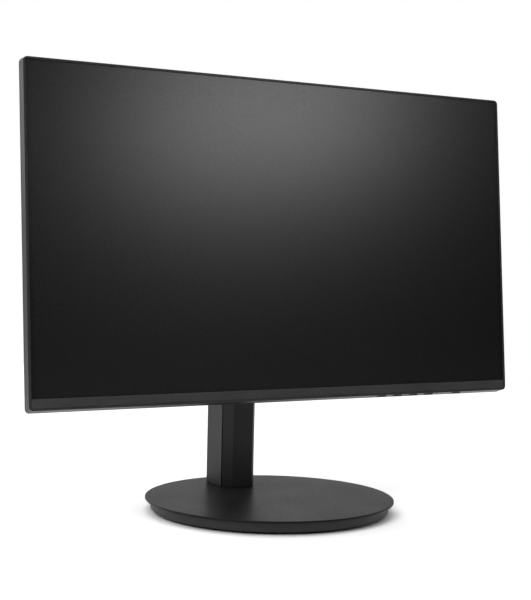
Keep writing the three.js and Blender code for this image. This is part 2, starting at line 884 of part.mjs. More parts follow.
// The space inside the front cover, which keeps the wall's thickness behind each facet.
function coverSpace() {
  const { across, deep } = columnFacet;
  const slope = Math.hypot(across, deep);
  const back = columnHalfWidth - (columnWall * slope) / deep;
  const front = columnFace - (columnWall * (slope - across)) / deep;
  return outline([
    [-back, coverBackY + cut],
    [-back, coverBackY],
    [-front, columnFrontY + columnWall],
    [front, columnFrontY + columnWall],
    [back, coverBackY],
    [back, coverBackY + cut],
  ]);
}

function columnCover() {
  const outer = outline([
    [-columnHalfWidth, coverBackY],
    [-columnFace, columnFrontY],
    [columnFace, columnFrontY],
    [columnHalfWidth, coverBackY],
  ]);
  const whole = extruded(outer, "z", columnLow, columnTop);
  const hollow = extruded(coverSpace(), "z", columnLow - cut, columnTop + cut);
  const reach = liftTravel + neckHalfHeight + slotMargin;
  const slot = block(
    [-slotHalfWidth, columnFrontY - cut, pivotZ - reach],
    [slotHalfWidth, columnFrontY + columnWall + cut, pivotZ + reach],
  );
  return without(whole, [hollow, slot]);
}

function columnCap() {
  const x = columnHalfWidth;
  const radius = columnCorner;
  const shape = new THREE.Shape();
  shape.moveTo(-columnFace, columnFrontY);
  shape.lineTo(columnFace, columnFrontY);
  shape.lineTo(x, coverBackY);
  shape.absarc(x - radius, columnBackY - radius, radius, 0, Math.PI / 2);
  shape.absarc(-x + radius, columnBackY - radius, radius, Math.PI / 2, Math.PI);
  shape.lineTo(-x, coverBackY);
  shape.closePath();
  return extruded(shape, "z", columnTop + gap, columnTop + gap + capThick);
}

function slideRail() {
  const low = columnLow + railFoot;
  const high = columnTop - gap;
  const front = railBack - railDepth;
  const shape = new THREE.Shape();
  const radius = columnCorner - columnWall;
  shape.moveTo(-railHalf, front);
  shape.lineTo(railHalf, front);
  shape.absarc(railHalf - radius, railBack - radius, radius, 0, Math.PI / 2);
  shape.absarc(-railHalf + radius, railBack - radius, radius, Math.PI / 2, Math.PI);
  shape.closePath();
  const whole = extruded(shape, "z", low, high);
  const track = block([-trackHalf, front - cut, low - cut], [trackHalf, trackBack, high + cut]);
  return whole.subtract(track);
}

function footScrewHoles(low, high) {
  return [-1, 1].map((side) =>
    bar("z", footScrew.radius + gap, low, high, [side * footScrew.x, strutY], 12),
  );
}

function columnBracket() {
  const sheet = block(
    [-bracketHalfWidth, strutY - bracketDepth / 2, columnLow],
    [bracketHalfWidth, strutY + bracketDepth / 2, bracketTop],
  );
  return without(sheet, footScrewHoles(columnLow - cut, bracketTop + cut));
}

function footScrewAt(side) {
  const place = [side * footScrew.x, strutY];
  const seat = discLow - gap;
  const shank = bar("z", footScrew.radius, seat - overlap, bracketTop - gap, place, 12);
  const head = bar("z", footScrew.headRadius, seat - footScrew.headThick, seat, place, 16);
  return shank.add(head);
}

function cableClip() {
  const low = clip.height - clip.tall / 2;
  const high = clip.height + clip.tall / 2;
  const front = columnBackY + gap;
  const back = front + clip.depth;
  const shape = roundedRect(-clip.halfWidth, clip.halfWidth, front, back, 4);
  const inner = clip.halfWidth - clip.wall;
  const space = roundedRect(-inner, inner, front + clip.wall, back - clip.wall, 2);
  const mouth = block(
    [-clip.mouth / 2, back - clip.wall - cut, low - cut],
    [clip.mouth / 2, back + cut, high + cut],
  );
  const whole = extruded(shape, "z", low, high);
  return without(whole, [extruded(space, "z", low - cut, high + cut), mouth]);
}

// ---------------------------------------------------------------- base

function baseDisc() {
  const disc = turned([
    [0, discLow],
    [discRadius, discLow],
    [discRadius, discTop - discChamfer],
    [discRadius - discChamfer, discTop],
    [0, discTop],
  ], 96);
  return without(disc, footScrewHoles(discLow - cut, discTop + cut));
}

function baseRing() {
  return turned([
    [0, ringLow],
    [ringRadius - ringFoot, ringLow],
    [ringRadius, ringLow + ringFoot],
    [ringRadius, ringTop],
    [ringRadius - ringWall, ringTop],
    [ringRadius - ringWall, ringLow + ringFloor],
    [0, ringLow + ringFloor],
  ]);
}

const studEnd = weightLow + slack;
const retainerLow = weightLow + slack;
const shoulder = retainerLow + retainerThick + gap;

function baseWeight() {
  const hole = swivelRadius + swivelGap;
  const counterbore = retainerRadius + swivelGap;
  return turned([
    [counterbore, weightLow],
    [weightRadius, weightLow],
    [weightRadius, weightTop],
    [hole, weightTop],
    [hole, shoulder],
    [counterbore, shoulder],
    [counterbore, weightLow],
  ], 48);
}

function swivelPin() {
  return turned([
    [0, studEnd],
    [studRadius, studEnd],
    [studRadius, shoulder],
    [swivelRadius, shoulder],
    [swivelRadius, discLow - gap],
    [0, discLow - gap],
  ], 24);
}

function swivelRetainer() {
  const inner = studRadius + gap;
  return turned([
    [inner, retainerLow],
    [retainerRadius, retainerLow],
    [retainerRadius, retainerLow + retainerThick],
    [inner, retainerLow + retainerThick],
    [inner, retainerLow],
  ], 24);
}

function swivelGlide() {
  const low = weightTop + gap;
  const high = discLow - gap;
  return turned([
    [glideInner, low],
    [glideOuter, low],
    [glideOuter, high],
    [glideInner, high],
    [glideInner, low],
  ], 48);
}

function rubberPad(i) {
  const angle = ((i + 0.5) / padCount) * 2 * Math.PI;
  const place = [padCircle * Math.sin(angle), -padCircle * Math.cos(angle)];
  return bar("z", padRadius, 0, padThick, place, 20);
}

// ---------------------------------------------------------------- assembly

const foot = group([
  part("base_ring", baseRing(), finishes.cover),
  part("base_weight", baseWeight(), finishes.steel),
  part("swivel_glide_ring", swivelGlide(), finishes.nylon),
  ...Array.from({ length: padCount }, (_, i) =>
    part(`rubber_pad_${i + 1}`, rubberPad(i), finishes.rubber),
  ),
]);

const stand = group([
  part("base_disc", baseDisc(), finishes.coated),
  part("swivel_pin", swivelPin(), finishes.steel),
  part("swivel_retainer", swivelRetainer(), finishes.steel),
  part("column_housing", columnHousing(), finishes.cover),
  part("column_cover", columnCover(), finishes.cover),
  part("column_cap", columnCap(), finishes.cover),
  part("column_bracket", columnBracket(), finishes.steel),
  part("slide_rail", slideRail(), finishes.steel),
  part("strut_cylinder", strutCylinder(), finishes.coated),
  part("cable_clip", cableClip(), finishes.cover),
  part("foot_screw_left", footScrewAt(-1), finishes.steel),
  part("foot_screw_right", footScrewAt(1), finishes.steel),
]);

const lift = group([
  part("lift_carriage", liftCarriage(), finishes.steel),
  part("glide_pad_left", glidePad(-1), finishes.nylon),
  part("glide_pad_right", glidePad(1), finishes.nylon),
  part("hinge_arm", hingeArm(), finishes.coated),
  part("arm_screw_upper", armScrewAt(1), finishes.steel),
  part("arm_screw_lower", armScrewAt(-1), finishes.steel),
  part("strut_rod", strutRod(), finishes.steel),
]);

const screen = group([
  part("screen_frame", screenFrame(), finishes.frame),
  part("chin_strip", chinStrip(), finishes.chin),
  part("lcd_panel", lcdPanel(), finishes.glass),
  part("film_stack", layer(filmFront, filmThick, guideLow), finishes.film),
  part("light_guide", layer(guideFront, guideThick, guideLow), finishes.acrylic),
  part("reflector_sheet", layer(reflectorFront, reflectorThick, ledLow), finishes.film),
  part("led_strip", ledStrip(), finishes.board),
  part("panel_tray", panelTray(), finishes.steel),
  part("electronics_chassis", electronicsChassis(), finishes.steel),
  part("main_board", mainBoard(), finishes.board),
  part("power_board", powerBoard(), finishes.board),
  part("rear_cover", rearCover(), finishes.cover),
  part("power_inlet", powerInlet(), finishes.socket),
  part("hdmi_socket", tongueSocket(hdmi), finishes.socket),
  part("displayport_socket", tongueSocket(displayPort), finishes.socket),
  part("audio_jack", audioJack(), finishes.socket),
  part("key_board", keyBoard(), finishes.board),
  part("power_light", powerLight(), finishes.lens),
  part("mount_plate", mountPlate(), finishes.coated),
  ...fixingPlaces.map((place, i) => part(`mount_screw_${i + 1}`, mountScrewAt(place), finishes.steel)),
  part("tilt_pin", tiltPin(), finishes.steel),
  part("tilt_nut", tiltNut(), finishes.steel),
  part("friction_washer_left", frictionWasher(-1), finishes.steel),
  part("friction_washer_right", frictionWasher(1), finishes.steel),
  ...Object.entries(keyPlaces).map(([name, x]) => part(`key_${name}`, key(x), finishes.frame)),
]);
screen.position.set(0, screenFrontY, screenLowZ);
screen.rotation.x = -tilt;

const monitor = new THREE.Group();
monitor.add(foot, stand, lift, screen);

export default monitor;
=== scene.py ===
import bpy
import bmesh
import json
import math
from mathutils import Matrix, Vector

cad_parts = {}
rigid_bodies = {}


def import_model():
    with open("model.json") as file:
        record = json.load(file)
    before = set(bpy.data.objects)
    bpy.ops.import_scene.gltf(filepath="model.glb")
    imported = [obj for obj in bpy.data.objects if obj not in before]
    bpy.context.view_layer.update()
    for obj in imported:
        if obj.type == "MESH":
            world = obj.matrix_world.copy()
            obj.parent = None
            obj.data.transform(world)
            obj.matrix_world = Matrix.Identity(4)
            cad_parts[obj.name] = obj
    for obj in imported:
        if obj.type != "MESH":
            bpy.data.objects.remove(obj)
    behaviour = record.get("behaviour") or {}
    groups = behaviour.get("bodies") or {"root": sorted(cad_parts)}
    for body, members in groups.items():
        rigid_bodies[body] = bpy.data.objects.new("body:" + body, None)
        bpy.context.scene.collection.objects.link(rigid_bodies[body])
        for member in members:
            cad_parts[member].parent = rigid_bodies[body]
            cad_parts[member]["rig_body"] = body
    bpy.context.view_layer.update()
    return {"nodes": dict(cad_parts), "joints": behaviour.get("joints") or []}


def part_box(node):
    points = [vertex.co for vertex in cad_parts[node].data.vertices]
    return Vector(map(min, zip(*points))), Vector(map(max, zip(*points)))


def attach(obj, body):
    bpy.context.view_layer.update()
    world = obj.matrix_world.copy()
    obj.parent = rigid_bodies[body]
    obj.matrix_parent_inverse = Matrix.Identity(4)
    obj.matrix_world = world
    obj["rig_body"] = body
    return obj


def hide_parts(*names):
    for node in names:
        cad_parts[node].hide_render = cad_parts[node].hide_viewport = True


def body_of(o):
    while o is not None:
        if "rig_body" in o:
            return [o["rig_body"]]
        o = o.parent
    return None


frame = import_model()

MM = 0.001
WELD = 0.01 * MM  # corners of a CAD mesh closer than this are one corner
joints = {joint["name"]: joint for joint in frame["joints"]}

# ------------------------------------------------------------------ the screen's own axes

# X across, Y behind the front face, Z up the front face, from the chin's lower front edge.
SCREEN_UP = Vector(joints["press_menu"]["axis"]).normalized()
SCREEN_BACK = Vector((0, SCREEN_UP.z, -SCREEN_UP.y))


def corners_of(node):
    return [vertex.co for vertex in frame["nodes"][node].data.vertices]


def screen_axes():
    chin = corners_of("chin_strip")
    front = min(corner.dot(SCREEN_BACK) for corner in chin)
    low = min(corner.dot(SCREEN_UP) for corner in chin)
    origin = SCREEN_BACK * front + SCREEN_UP * low
    turn = Matrix((Vector((1, 0, 0)), SCREEN_BACK, SCREEN_UP)).transposed()
    return Matrix.Translation(origin) @ turn.to_4x4()


SCREEN = screen_axes()


def box_along(axes, node):
    """Lowest and highest corner of a CAD node along the given axes."""
    to_axes = axes.inverted()
    places = [to_axes @ corner for corner in corners_of(node)]
    low = Vector(min(place[i] for place in places) for i in range(3))
    high = Vector(max(place[i] for place in places) for i in range(3))
    return low, high


def screen_box(node):
    return box_along(SCREEN, node)


# ------------------------------------------------------------------ making meshes


def object_of(name, mesh):
    made = bpy.data.objects.new(name, mesh)
    bpy.context.scene.collection.objects.link(made)
    return made


def mesh_from(name, vertices, faces, place=Matrix()):
    mesh = bpy.data.meshes.new(name)
    mesh.from_pydata([place @ Vector(vertex) for vertex in vertices], [], faces)
    shape = bmesh.new()
    shape.from_mesh(mesh)
    bmesh.ops.recalc_face_normals(shape, faces=shape.faces)
    shape.to_mesh(mesh)
    shape.free()
    return mesh


def baked(made):
    """The object's modifiers worked into a plain mesh."""
    graph = bpy.context.evaluated_depsgraph_get()
    mesh = bpy.data.meshes.new_from_object(made.evaluated_get(graph))
    made.modifiers.clear()
    made.data = mesh
    return made


def rounded_edges(made, width, segments=2, angle=28):
    """Rounds the edges that turn by more than an angle in degrees, and shades the flats flat."""
    made.data.shade_smooth()
    bevel = made.modifiers.new("rounded edges", "BEVEL")
    bevel.width = width
    bevel.segments = segments
    bevel.limit_method = "ANGLE"
    bevel.angle_limit = math.radians(angle)
    bevel.miter_outer = "MITER_ARC"
    weighted = made.modifiers.new("flat faces", "WEIGHTED_NORMAL")
    weighted.keep_sharp = True
    return baked(made)


def cad_copy(node, name):
    """A CAD node's mesh with its corners joined and its flat faces whole."""
    shape = bmesh.new()
    shape.from_mesh(frame["nodes"][node].data)
    bmesh.ops.remove_doubles(shape, verts=shape.verts, dist=WELD)
    bmesh.ops.dissolve_limit(
        shape, angle_limit=math.radians(0.5), verts=shape.verts, edges=shape.edges
    )
    mesh = bpy.data.meshes.new(name)
    shape.to_mesh(mesh)
    shape.free()
    return object_of(name, mesh)


def arc(centre, radius, start, end, steps):
    """Points on part of a circle, angles in degrees."""
    angles = [math.radians(start + (end - start) * i / steps) for i in range(steps + 1)]
    return [
        (centre[0] + radius * math.cos(angle), centre[1] + radius * math.sin(angle))
        for angle in angles
    ]


def filleted(points, radii, steps):
    """An open line of points whose inner corners are rounded with the given radii."""
    line = [Vector(points[0])]
    for i in range(1, len(points) - 1):
        corner = Vector(points[i])
        before = (Vector(points[i - 1]) - corner).normalized()
        after = (Vector(points[i + 1]) - corner).normalized()
        if not radii[i]:
            line.append(corner)
            continue
        half = before.angle(after) / 2
        start = corner + before * radii[i] / math.tan(half)
        end = corner + after * radii[i] / math.tan(half)
        centre = corner + (before + after).normalized() * radii[i] / math.sin(half)
        first = math.atan2(*(start - centre).yx)
        turn = math.remainder(math.atan2(*(end - centre).yx) - first, 2 * math.pi)
        for k in range(steps + 1):
            angle = first + turn * k / steps
            line.append(centre + radii[i] * Vector((math.cos(angle), math.sin(angle))))
    line.append(Vector(points[-1]))
    return line


def turned(name, line, sides, centre=(0, 0)):
    """A body of revolution about a vertical line, from (radius, height) points."""
    vertices = []
    rings = []
    for radius, height in line:
        if radius < WELD:
            vertices.append((*centre, height))
            rings.append([len(vertices) - 1] * sides)
            continue
        first = len(vertices)
        for k in range(sides):
            angle = 2 * math.pi * k / sides
            x = centre[0] + radius * math.cos(angle)
            y = centre[1] + radius * math.sin(angle)
            vertices.append((x, y, height))
        rings.append(list(range(first, first + sides)))
    closed = line[0][0] > WELD
    pairs = list(zip(rings, rings[1:] + rings[:1] if closed else rings[1:]))
    faces = []
    for lower, upper in pairs:
        for k in range(sides):
            after = (k + 1) % sides
            face = [lower[k], lower[after], upper[after], upper[k]]
            faces.append(list(dict.fromkeys(face)))
    return object_of(name, mesh_from(name, vertices, faces))


def weighted(made):
    """Smooth shading that breaks only at sharp edges and keeps large flats flat."""
    made.data.shade_smooth()
    made.data.set_sharp_from_angle(angle=math.radians(50))
    made.modifiers.new("flat faces", "WEIGHTED_NORMAL").keep_sharp = True
    return baked(made)


def rounded_rectangle(u0, u1, v0, v1, radius, steps):
    if not radius:
        return [(u0, v0), (u1, v0), (u1, v1), (u0, v1)]
    return [
        *arc((u1 - radius, v0 + radius), radius, -90, 0, steps),
        *arc((u1 - radius, v1 - radius), radius, 0, 90, steps),
        *arc((u0 + radius, v1 - radius), radius, 90, 180, steps),
        *arc((u0 + radius, v0 + radius), radius, 180, 270, steps),
    ]


def extruded(name, outline, front, back, place=Matrix()):
    """An outline in the first and third axes, extruded along the second."""
    count = len(outline)
    vertices = [(u, front, v) for u, v in outline] + [(u, back, v) for u, v in outline]
    sides = [(i, (i + 1) % count, count + (i + 1) % count, count + i) for i in range(count)]
    ends = [tuple(range(count)), tuple(range(count, 2 * count))]
    return object_of(name, mesh_from(name, vertices, sides + ends, place))


def block(name, low, high, place=Matrix(), corner=0, steps=1):
    """A block whose edges along its second axis can be rounded."""
    outline = rounded_rectangle(low[0], high[0], low[2], high[2], corner, steps)
    return extruded(name, outline, low[1], high[1], place)


def lofted(name, loops, place=Matrix()):
    """A closed skin through loops of equally many points, with flat ends."""
    count = len(loops[0])
    vertices = [point for loop in loops for point in loop]
    faces = []
    for k in range(len(loops) - 1):
        for i in range(count):
            after = (i + 1) % count
            low, high = k * count, (k + 1) * count
            faces.append((low + i, low + after, high + after, high + i))
    last = (len(loops) - 1) * count
    faces += [tuple(range(count)), tuple(range(last, last + count))]
    return object_of(name, mesh_from(name, vertices, faces, place))


def cut(made, cutters):
    """Takes each cutter out of a piece, and removes the cutter."""
    for cutter in cutters:
        modifier = made.modifiers.new("cut", "BOOLEAN")
        modifier.operation = "DIFFERENCE"
        modifier.solver = "EXACT"
        modifier.object = cutter
        baked(made)
        bpy.data.objects.remove(cutter)
    return made


def tidy(made):
    """Joins the corners that a cut leaves almost touching, and makes flats whole."""
    shape = bmesh.new()
    shape.from_mesh(made.data)
    bmesh.ops.remove_doubles(shape, verts=shape.verts, dist=2 * WELD)
    bmesh.ops.dissolve_limit(
        shape, angle_limit=math.radians(0.3), verts=shape.verts, edges=shape.edges
    )
    shape.to_mesh(made.data)
    shape.free()
    return made


# ------------------------------------------------------------------ shader node groups


class Nodes:
    """A node tree with short calls to add nodes and links."""

    def __init__(self, tree):
        self.tree = tree

    def add(self, kind, inputs=(), **settings):
        made = self.tree.nodes.new(kind)
        for name, value in settings.items():
            setattr(made, name, value)
        for key, value in dict(inputs).items():
            self.give(made.inputs[key], value)
        return made

    def give(self, socket, value):
        if isinstance(value, bpy.types.NodeSocket):
            self.tree.links.new(value, socket)
        else:
            socket.default_value = value

    def math(self, operation, *values, clamp=False):
        inputs = dict(enumerate(values))
        made = self.add("ShaderNodeMath", inputs, operation=operation, use_clamp=clamp)
        return made.outputs[0]

    def spread(self, value, low, high, to_low=0.0, to_high=1.0):
        inputs = {"Value": value, "From Min": low, "From Max": high}
        inputs.update({"To Min": to_low, "To Max": to_high})
        return self.add("ShaderNodeMapRange", inputs).outputs["Result"]

    def mix(self, factor, first, second):
        made = self.add("ShaderNodeMix", data_type="RGBA")
        self.give(made.inputs[0], factor)
        self.give(made.inputs[6], first)
        self.give(made.inputs[7], second)
        return made.outputs[2]

    def noise(self, vector, scale, detail=2.0, roughness=0.5):
        inputs = {"Vector": vector, "Scale": scale, "Detail": detail, "Roughness": roughness}
        return self.add("ShaderNodeTexNoise", inputs).outputs["Fac"]


def shader_group(name, inputs, outputs):
    tree = bpy.data.node_groups.new(name, "ShaderNodeTree")
    for socket, kind, value in inputs:
        made = tree.interface.new_socket(name=socket, in_out="INPUT", socket_type=kind)
        if value is not None:
            made.default_value = value
    for socket in outputs:
        tree.interface.new_socket(name=socket, in_out="OUTPUT", socket_type="NodeSocketFloat")
    nodes = Nodes(tree)
    return tree, nodes, nodes.add("NodeGroupInput").outputs, nodes.add("NodeGroupOutput")


FLOAT = "NodeSocketFloat"
VECTOR = "NodeSocketVector"

FLECKS_TO_PITS = 0.42  # flecks for each pit along a line
CELL_HEIGHT = 0.6  # height of the rounded cells beside the pits


def mould_grain_group():
    """The spark-eroded texture of a mould: fine pits, flecks, and slow unevenness."""
    tree, nodes, given, end = shader_group(
        "mould grain",
        [("Place", VECTOR, None), ("Grain Size", FLOAT, 0.0004), ("Patch Size", FLOAT, 0.05)],
        ["Height", "Fleck", "Patch"],
    )
    fine = nodes.math("DIVIDE", 1.0, given["Grain Size"])
    coarse = nodes.math("MULTIPLY", fine, FLECKS_TO_PITS)
    broad = nodes.math("DIVIDE", 1.0, given["Patch Size"])
    pits = nodes.noise(given["Place"], fine, 2.0, 0.6)
    cells = nodes.add(
        "ShaderNodeTexVoronoi",
        {"Vector": given["Place"], "Scale": coarse, "Smoothness": 0.6},
        feature="SMOOTH_F1",
    ).outputs["Distance"]
    height = nodes.math("MULTIPLY_ADD", cells, CELL_HEIGHT, pits)
    flecks = nodes.noise(given["Place"], coarse, 1.0, 0.5)
    patches = nodes.noise(given["Place"], broad, 3.0, 0.55)
    nodes.give(end.inputs["Height"], height)
    nodes.give(end.inputs["Fleck"], nodes.spread(flecks, 0.35, 0.68))
    nodes.give(end.inputs["Patch"], nodes.spread(patches, 0.3, 0.7))
    return tree


FLAT, ROUNDED = 0.995, 0.86  # cosines between a face and its softened edge: no wear, full wear
WEAR_SCALE = 140.0


def edge_wear_group():
    """A mask along outer edges, broken up as rubbed plastic and paint are."""
    tree, nodes, given, end = shader_group(
        "edge wear",
        [("Place", VECTOR, None), ("Radius", FLOAT, 0.0008), ("Amount", FLOAT, 0.4)],
        ["Mask"],
    )
    softened = nodes.add("ShaderNodeBevel", {"Radius": given["Radius"]}, samples=4)
    plain = nodes.add("ShaderNodeNewGeometry")
    facing = nodes.add("ShaderNodeVectorMath", operation="DOT_PRODUCT")
    nodes.give(facing.inputs[0], softened.outputs["Normal"])
    nodes.give(facing.inputs[1], plain.outputs["Normal"])
    turned_away = nodes.spread(facing.outputs["Value"], FLAT, ROUNDED)
    patches = nodes.noise(given["Place"], WEAR_SCALE, 4.0, 0.65)
    broken = nodes.spread(patches, 0.38, 0.66)
    rubbed = nodes.math("MULTIPLY", turned_away, broken)
    nodes.give(end.inputs["Mask"], nodes.math("MULTIPLY", rubbed, given["Amount"], clamp=True))
    return tree


FILM_SCALE = 22.0
MOTE_SCALE = 1400.0
MOTE_SHARE = 0.6  # how strong the motes are beside the film


def settled_dust_group():
    """A thin, uneven film of dust on the faces that look up."""
    tree, nodes, given, end = shader_group(
        "settled dust",
        [("Place", VECTOR, None), ("Amount", FLOAT, 0.1)],
        ["Mask"],
    )
    normal = nodes.add("ShaderNodeNewGeometry").outputs["Normal"]
    upward = nodes.add("ShaderNodeSeparateXYZ", {"Vector": normal}).outputs["Z"]
    faces_up = nodes.spread(upward, 0.3, 1.0)
    film = nodes.spread(nodes.noise(given["Place"], FILM_SCALE, 5.0, 0.6), 0.32, 0.72)
    motes = nodes.spread(nodes.noise(given["Place"], MOTE_SCALE, 1.0, 0.5), 0.6, 0.72)
    both = nodes.math("ADD", nodes.math("MULTIPLY", motes, MOTE_SHARE), film)
    lying = nodes.math("MULTIPLY", both, faces_up)
    nodes.give(end.inputs["Mask"], nodes.math("MULTIPLY", lying, given["Amount"], clamp=True))
    return tree


GRAIN = mould_grain_group()
WEAR = edge_wear_group()
DUST = settled_dust_group()

# ------------------------------------------------------------------ materials


def grey(value):
    return (value, value, value, 1)


def scaled(colour, factor):
    return tuple(min(1, channel * factor) for channel in colour[:3]) + (1,)


def started(name):
    """A material with a shader, and the place on the object that its textures follow."""
    material = bpy.data.materials.new(name)
    material.use_nodes = True
    material.node_tree.nodes.clear()
    nodes = Nodes(material.node_tree)
    shader = nodes.add("ShaderNodeBsdfPrincipled")
    nodes.add("ShaderNodeOutputMaterial", {"Surface": shader.outputs[0]})
    place = nodes.add("ShaderNodeTexCoord").outputs["Object"]
    return material, nodes, shader, place


def in_group(nodes, tree, **inputs):
    made = nodes.add("ShaderNodeGroup", node_tree=tree)
    for name, value in inputs.items():
        nodes.give(made.inputs[name.replace("_", " ")], value)
    return made.outputs


DUST_COLOUR = (0.32, 0.3, 0.28, 1)
DUST_ROUGHNESS = 0.5  # how much rougher a fully dusty face is
SHEEN_RANGE = 0.08  # how far the roughness strays to each side
FLECK_SHARE = 0.65  # of the unevenness; slow patches make up the rest
GRAIN_STRENGTH = 0.8
WEAR_RADIUS = 0.7 * MM


def surface(name, colour, worn, roughness, grain, depth, uneven=0.18, wear=0.35, dust=0.05,
            specular=0.5):
    """Moulded plastic, paint or rubber: grain, flecks, rubbed edges and a little dust."""
    material, nodes, shader, place = started(name)
    texture = in_group(nodes, GRAIN, Place=place, Grain_Size=grain, Patch_Size=60 * MM)
    rubbed = in_group(nodes, WEAR, Place=place, Radius=WEAR_RADIUS, Amount=wear)["Mask"]
    dusty = in_group(nodes, DUST, Place=place, Amount=dust)["Mask"]
    flecks = nodes.math("MULTIPLY", texture["Fleck"], FLECK_SHARE)
    blend = nodes.math("MULTIPLY_ADD", texture["Patch"], 1 - FLECK_SHARE, flecks)
    tone = nodes.mix(blend, scaled(colour, 1 - uneven), scaled(colour, 1 + uneven))
    tone = nodes.mix(rubbed, tone, worn)
    tone = nodes.mix(dusty, tone, DUST_COLOUR)
    sheen = nodes.spread(blend, 0, 1, roughness - SHEEN_RANGE, roughness + SHEEN_RANGE)
    rough = nodes.math("MULTIPLY_ADD", dusty, DUST_ROUGHNESS, sheen)
    bump = nodes.add("ShaderNodeBump", {"Height": texture["Height"], "Distance": depth})
    bump.inputs["Strength"].default_value = GRAIN_STRENGTH
    nodes.give(shader.inputs["Base Color"], tone)
    nodes.give(shader.inputs["Roughness"], rough)
    nodes.give(shader.inputs["Normal"], bump.outputs["Normal"])
    shader.inputs["Specular IOR Level"].default_value = specular
    return material


DULL, RUBBED = 0.72, 1.35  # how bright patches and edges are beside plain metal


def metal(name, colour, roughness, grain):
    """Plated steel: slow dull patches, fine grain and brighter rubbed edges."""
    material, nodes, shader, place = started(name)
    texture = in_group(nodes, GRAIN, Place=place, Grain_Size=grain, Patch_Size=12 * MM)
    rubbed = in_group(nodes, WEAR, Place=place, Radius=0.4 * MM, Amount=0.5)["Mask"]
    tone = nodes.mix(texture["Patch"], scaled(colour, DULL), colour)
    tone = nodes.mix(rubbed, tone, scaled(colour, RUBBED))
    rough = nodes.spread(texture["Fleck"], 0, 1, roughness - 0.07, roughness + 0.1)
    bump = nodes.add("ShaderNodeBump", {"Height": texture["Height"], "Distance": 0.004 * MM})
    nodes.give(shader.inputs["Base Color"], tone)
    nodes.give(shader.inputs["Roughness"], rough)
    nodes.give(shader.inputs["Normal"], bump.outputs["Normal"])
    shader.inputs["Metallic"].default_value = 1.0
    return material


# From the panel's edges to its picture.
PICTURE_INSET = {"side": 3.6 * MM, "below": 1.8 * MM, "above": 2.2 * MM}


def display_glass(name):
    """The panel's matt front polariser: near black, with a blacker rim round the picture."""
    material, nodes, shader, place = started(name)
    low, high = screen_box("lcd_panel")
    half_width = high.x - PICTURE_INSET["side"]
    picture_low = low.z + PICTURE_INSET["below"]
    picture_high = high.z - PICTURE_INSET["above"]
    start = SCREEN.translation
    centred = nodes.add("ShaderNodeVectorMath", {0: place, 1: start}, operation="SUBTRACT")
    up = nodes.add("ShaderNodeVectorMath", operation="DOT_PRODUCT")
    nodes.give(up.inputs[0], centred.outputs["Vector"])
    nodes.give(up.inputs[1], SCREEN_UP)
    across = nodes.add("ShaderNodeSeparateXYZ", {"Vector": place}).outputs["X"]
    soft = 0.1 * MM
    sides = nodes.spread(nodes.math("ABSOLUTE", across), half_width + soft, half_width)
    above = nodes.spread(up.outputs["Value"], picture_low, picture_low + soft)
    below = nodes.spread(up.outputs["Value"], picture_high + soft, picture_high)
    picture = nodes.math("MULTIPLY", nodes.math("MULTIPLY", sides, above), below)
    texture = in_group(nodes, GRAIN, Place=place, Grain_Size=0.12 * MM, Patch_Size=120 * MM)
    lit = nodes.mix(texture["Patch"], (0.0028, 0.0029, 0.0031, 1), (0.0034, 0.0034, 0.0036, 1))
    nodes.give(shader.inputs["Base Color"], nodes.mix(picture, grey(0.0012), lit))
    rough = nodes.spread(texture["Fleck"], 0, 1, 0.25, 0.29)
    nodes.give(shader.inputs["Roughness"], rough)
    bump = nodes.add("ShaderNodeBump", {"Height": texture["Height"], "Distance": 0.0012 * MM})
    nodes.give(shader.inputs["Normal"], bump.outputs["Normal"])
    return material


TRACK_SCALE = 260.0
PAD_SCALE = 330.0


def circuit_board(name):
    """Green solder mask over copper tracks, with tinned pads."""
    material, nodes, shader, place = started(name)
    tracks = nodes.add(
        "ShaderNodeTexVoronoi",
        {"Vector": place, "Scale": TRACK_SCALE},
        feature="DISTANCE_TO_EDGE",
        distance="EUCLIDEAN",
    ).outputs["Distance"]
    track = nodes.spread(tracks, 0.05, 0.09)
    pads = nodes.add("ShaderNodeTexVoronoi", {"Vector": place, "Scale": PAD_SCALE})
    pad = nodes.spread(pads.outputs["Distance"], 0.16, 0.13)
    texture = in_group(nodes, GRAIN, Place=place, Grain_Size=0.6 * MM, Patch_Size=30 * MM)
    mask = nodes.mix(texture["Patch"], (0.006, 0.05, 0.024, 1), (0.01, 0.07, 0.034, 1))
    tone = nodes.mix(track, (0.02, 0.13, 0.06, 1), mask)
    nodes.give(shader.inputs["Base Color"], nodes.mix(pad, tone, (0.62, 0.6, 0.55, 1)))
    nodes.give(shader.inputs["Metallic"], pad)
    nodes.give(shader.inputs["Roughness"], nodes.spread(texture["Fleck"], 0, 1, 0.3, 0.42))
    bump = nodes.add("ShaderNodeBump", {"Height": track, "Distance": 0.03 * MM})
    nodes.give(shader.inputs["Normal"], bump.outputs["Normal"])
    return material


DOT_SCALE = 900.0
ACRYLIC_IOR = 1.49


def clear_plastic(name, colour, roughness, painted_glint=0.0):
    """Acrylic: nearly clear, with faint dots on it; a faint glow, where given, is a painted glint.
    """
    material, nodes, shader, place = started(name)
    pattern = nodes.add("ShaderNodeTexVoronoi", {"Vector": place, "Scale": DOT_SCALE})
    dots = pattern.outputs["Distance"]
    dotted = nodes.spread(dots, 0.25, 0.2)
    nodes.give(shader.inputs["Base Color"], nodes.mix(dotted, colour, scaled(colour, 1.15)))
    nodes.give(shader.inputs["Roughness"], nodes.spread(dots, 0, 1, roughness, roughness + 0.1))
    shader.inputs["Transmission Weight"].default_value = 0.6
    shader.inputs["IOR"].default_value = ACRYLIC_IOR
    # The faint bluish glow paints the glint that the clear lens catches from the lamps: a painted
    # highlight, not a lit lamp.
    if painted_glint:
        shader.inputs["Emission Color"].default_value = (0.6, 0.8, 1, 1)
        shader.inputs["Emission Strength"].default_value = painted_glint
    return material


